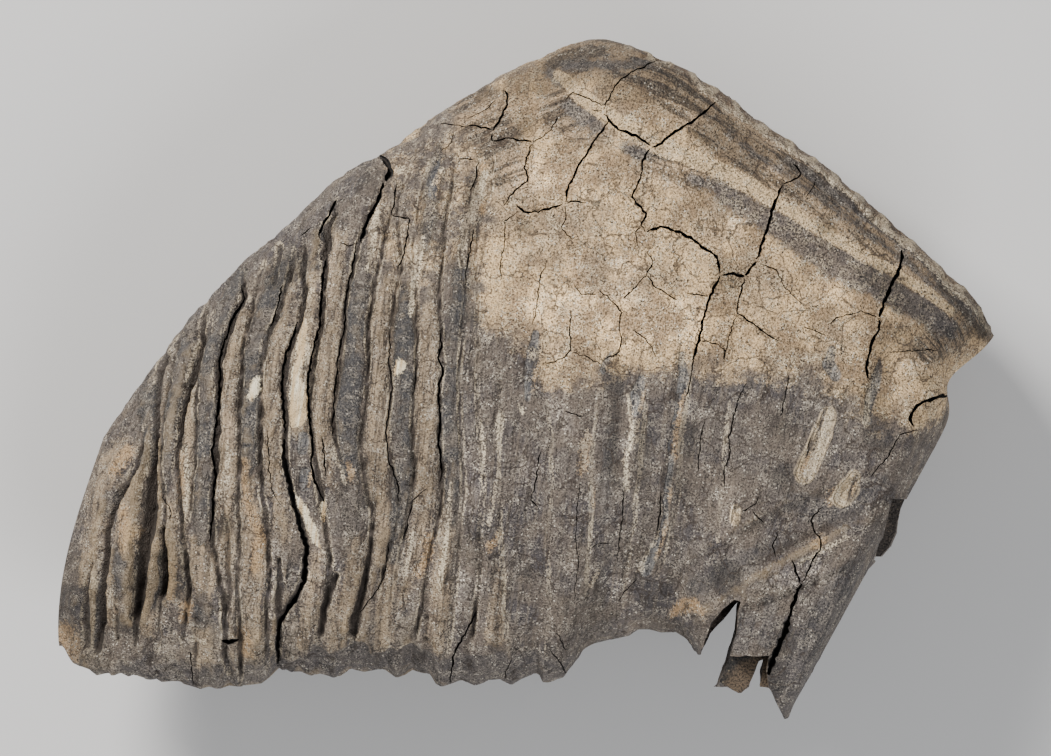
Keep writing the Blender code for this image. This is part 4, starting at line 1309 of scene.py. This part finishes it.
    # Grains and gaps darken and lighten whatever is under them, less on the smooth grey enamel. Crumbs,
    # pits, worms and flecks lie over them, brightest on the bleached cement.
    swing = sum_of(tree, (grain["Cluster"], 0.40), (in_pale, 0.22), (grey_plate, -0.10), 0.32)
    low, high = sum_of(tree, (swing, -1.0), 1.0), sum_of(tree, swing, 1.0)
    tone = node(tree, "ShaderNodeMapRange", {"Value": grain["Tone"], 3: low, 4: high}).outputs[0]
    colour = over(tree, 1.0, colour, tone, "MULTIPLY")
    bright = product(tree, in_pale, sum_of(tree, (in_shade, -1.0), 1.0))
    crumbs = product(tree, grain["Cluster"], ramp(tree, grain["Tone"], 0.45, 0.8))
    lay(crumbs, 0.35, over(tree, bright, seen(166, 154, 137), seen(226, 206, 172)))
    lay(grain["Pit"], sum_of(tree, (grain["Cluster"], 0.4), 0.2), seen(54, 45, 37))
    threads = sum_of(tree, (grey_plate, -0.45), (in_shade, -0.35), (dark_band, -0.5), (stain, -0.4), 0.80)
    thread = over(tree, bright, seen(188, 176, 159), seen(242, 220, 182))
    lay(grain["Thread"], ramp(tree, threads, 0.0, 0.8, 0.1, 0.8), thread)
    flecks = sum_of(tree, (grey_plate, -0.35), (kept("table"), -0.6), (stain, -0.2), 0.9)
    lay(grain["Fleck"], flecks, seen(222, 211, 193))

    # Paler and darker clouds, broken up by the mottling; some of the darker ones are painted shade.
    cloudy = product(tree, kept("tint"), ramp(tree, grain["Mottle"], 0.36, 0.62, 0.5, 1.4))
    colour = over(tree, 1.0, colour, ramp(tree, cloudy, -1.0, 1.0, 0.50, 1.54), "MULTIPLY")

    # Fine cracks, painted highlight on the crests, painted shade in the hollows and grooves, and splinters
    # of ivory.
    lay(grain["Craze"], 0.75, seen(56, 46, 38))
    lay(split, 0.75, seen(44, 37, 31))
    # Painted highlight on the crests of the relief, and painted shade in its hollows.
    lay(ramp(tree, kept("cavity"), 0.25, 0.9), 0.3, seen(176, 152, 116))
    lay(ramp(tree, kept("cavity"), -0.15, -1.0), 0.8, seen(48, 39, 32))
    # Painted shade in the furrows and troughs.
    groove = ragged("groove", 2, 1.8)
    lay(groove, 0.75, seen(50, 42, 35))
    ivory = two_tones(tree, fibre, 0.40, 0.56, (244, 230, 198), (204, 176, 134))
    ivory = over(tree, product(tree, grain["Pit"], 0.4), ivory, seen(120, 98, 74))
    colour = over(tree, ragged("ivory", 2, 1.0), colour, ivory)

    tree.links.new(colour, shader.inputs["Base Color"])
    rough = sum_of(tree, 0.82, (grey_plate, -0.22), (grain["Tone"], -0.05))
    tree.links.new(rough, shader.inputs["Roughness"])
    place = node(tree, "ShaderNodeTexCoord").outputs["Object"]
    wrinkles = noise_texture(tree, stretched(tree, place, (0.3, 1.0, 1.0)), 1.5 * MM, detail=1)
    height = sum_of(
        tree, grain["Height"], (fibre, 0.9), (product(tree, in_shade, rim_run), 1.5),
        (product(tree, grey_plate, wrinkles), 1.0), (bared, -0.5), (leaf, -0.7), (rim, 0.5),
        (lip, 0.4), (groove, -1.2),
    )
    bumped(tree, shader, height, 0.6 * MM)


def finish_wall(material, light, shade, strength):
    """A broken face: two tones, darkened and lightened by the grain with a strength."""
    tree, shader, grain = start_finish(material)
    colour = two_tones(tree, grain["Mottle"], 0.42, 0.60, shade, light)
    tone = ramp(tree, grain["Tone"], 0, 1, 1 - strength, 1 + strength)
    colour = over(tree, 1.0, colour, tone, "MULTIPLY")
    colour = over(tree, product(tree, grain["Fleck"], 0.5 * strength), colour, seen(196, 176, 144))
    tree.links.new(colour, shader.inputs["Base Color"])
    shader.inputs["Roughness"].default_value = 0.85
    bumped(tree, shader, grain["Height"], 0.4 * MM)


finish_skin(finishes[0])
# The crack walls are near black: partly their own dark earth, partly painted shade deep in the narrow
# cracks.
finish_wall(finishes[CRACK_WALL], (44, 38, 34), (26, 23, 21), 0.3)
# The stub's fresh break: its own tan, darkened to grey-brown by painted shade.
finish_wall(finishes[FRESH_BREAK_PAINTED_SHADE], (78, 66, 53), (38, 35, 33), 0.6)
finish_wall(finishes[OLD_BREAK], (88, 78, 70), (60, 54, 50), 0.6)

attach(tooth, "root")
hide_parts("mammoth_tooth")
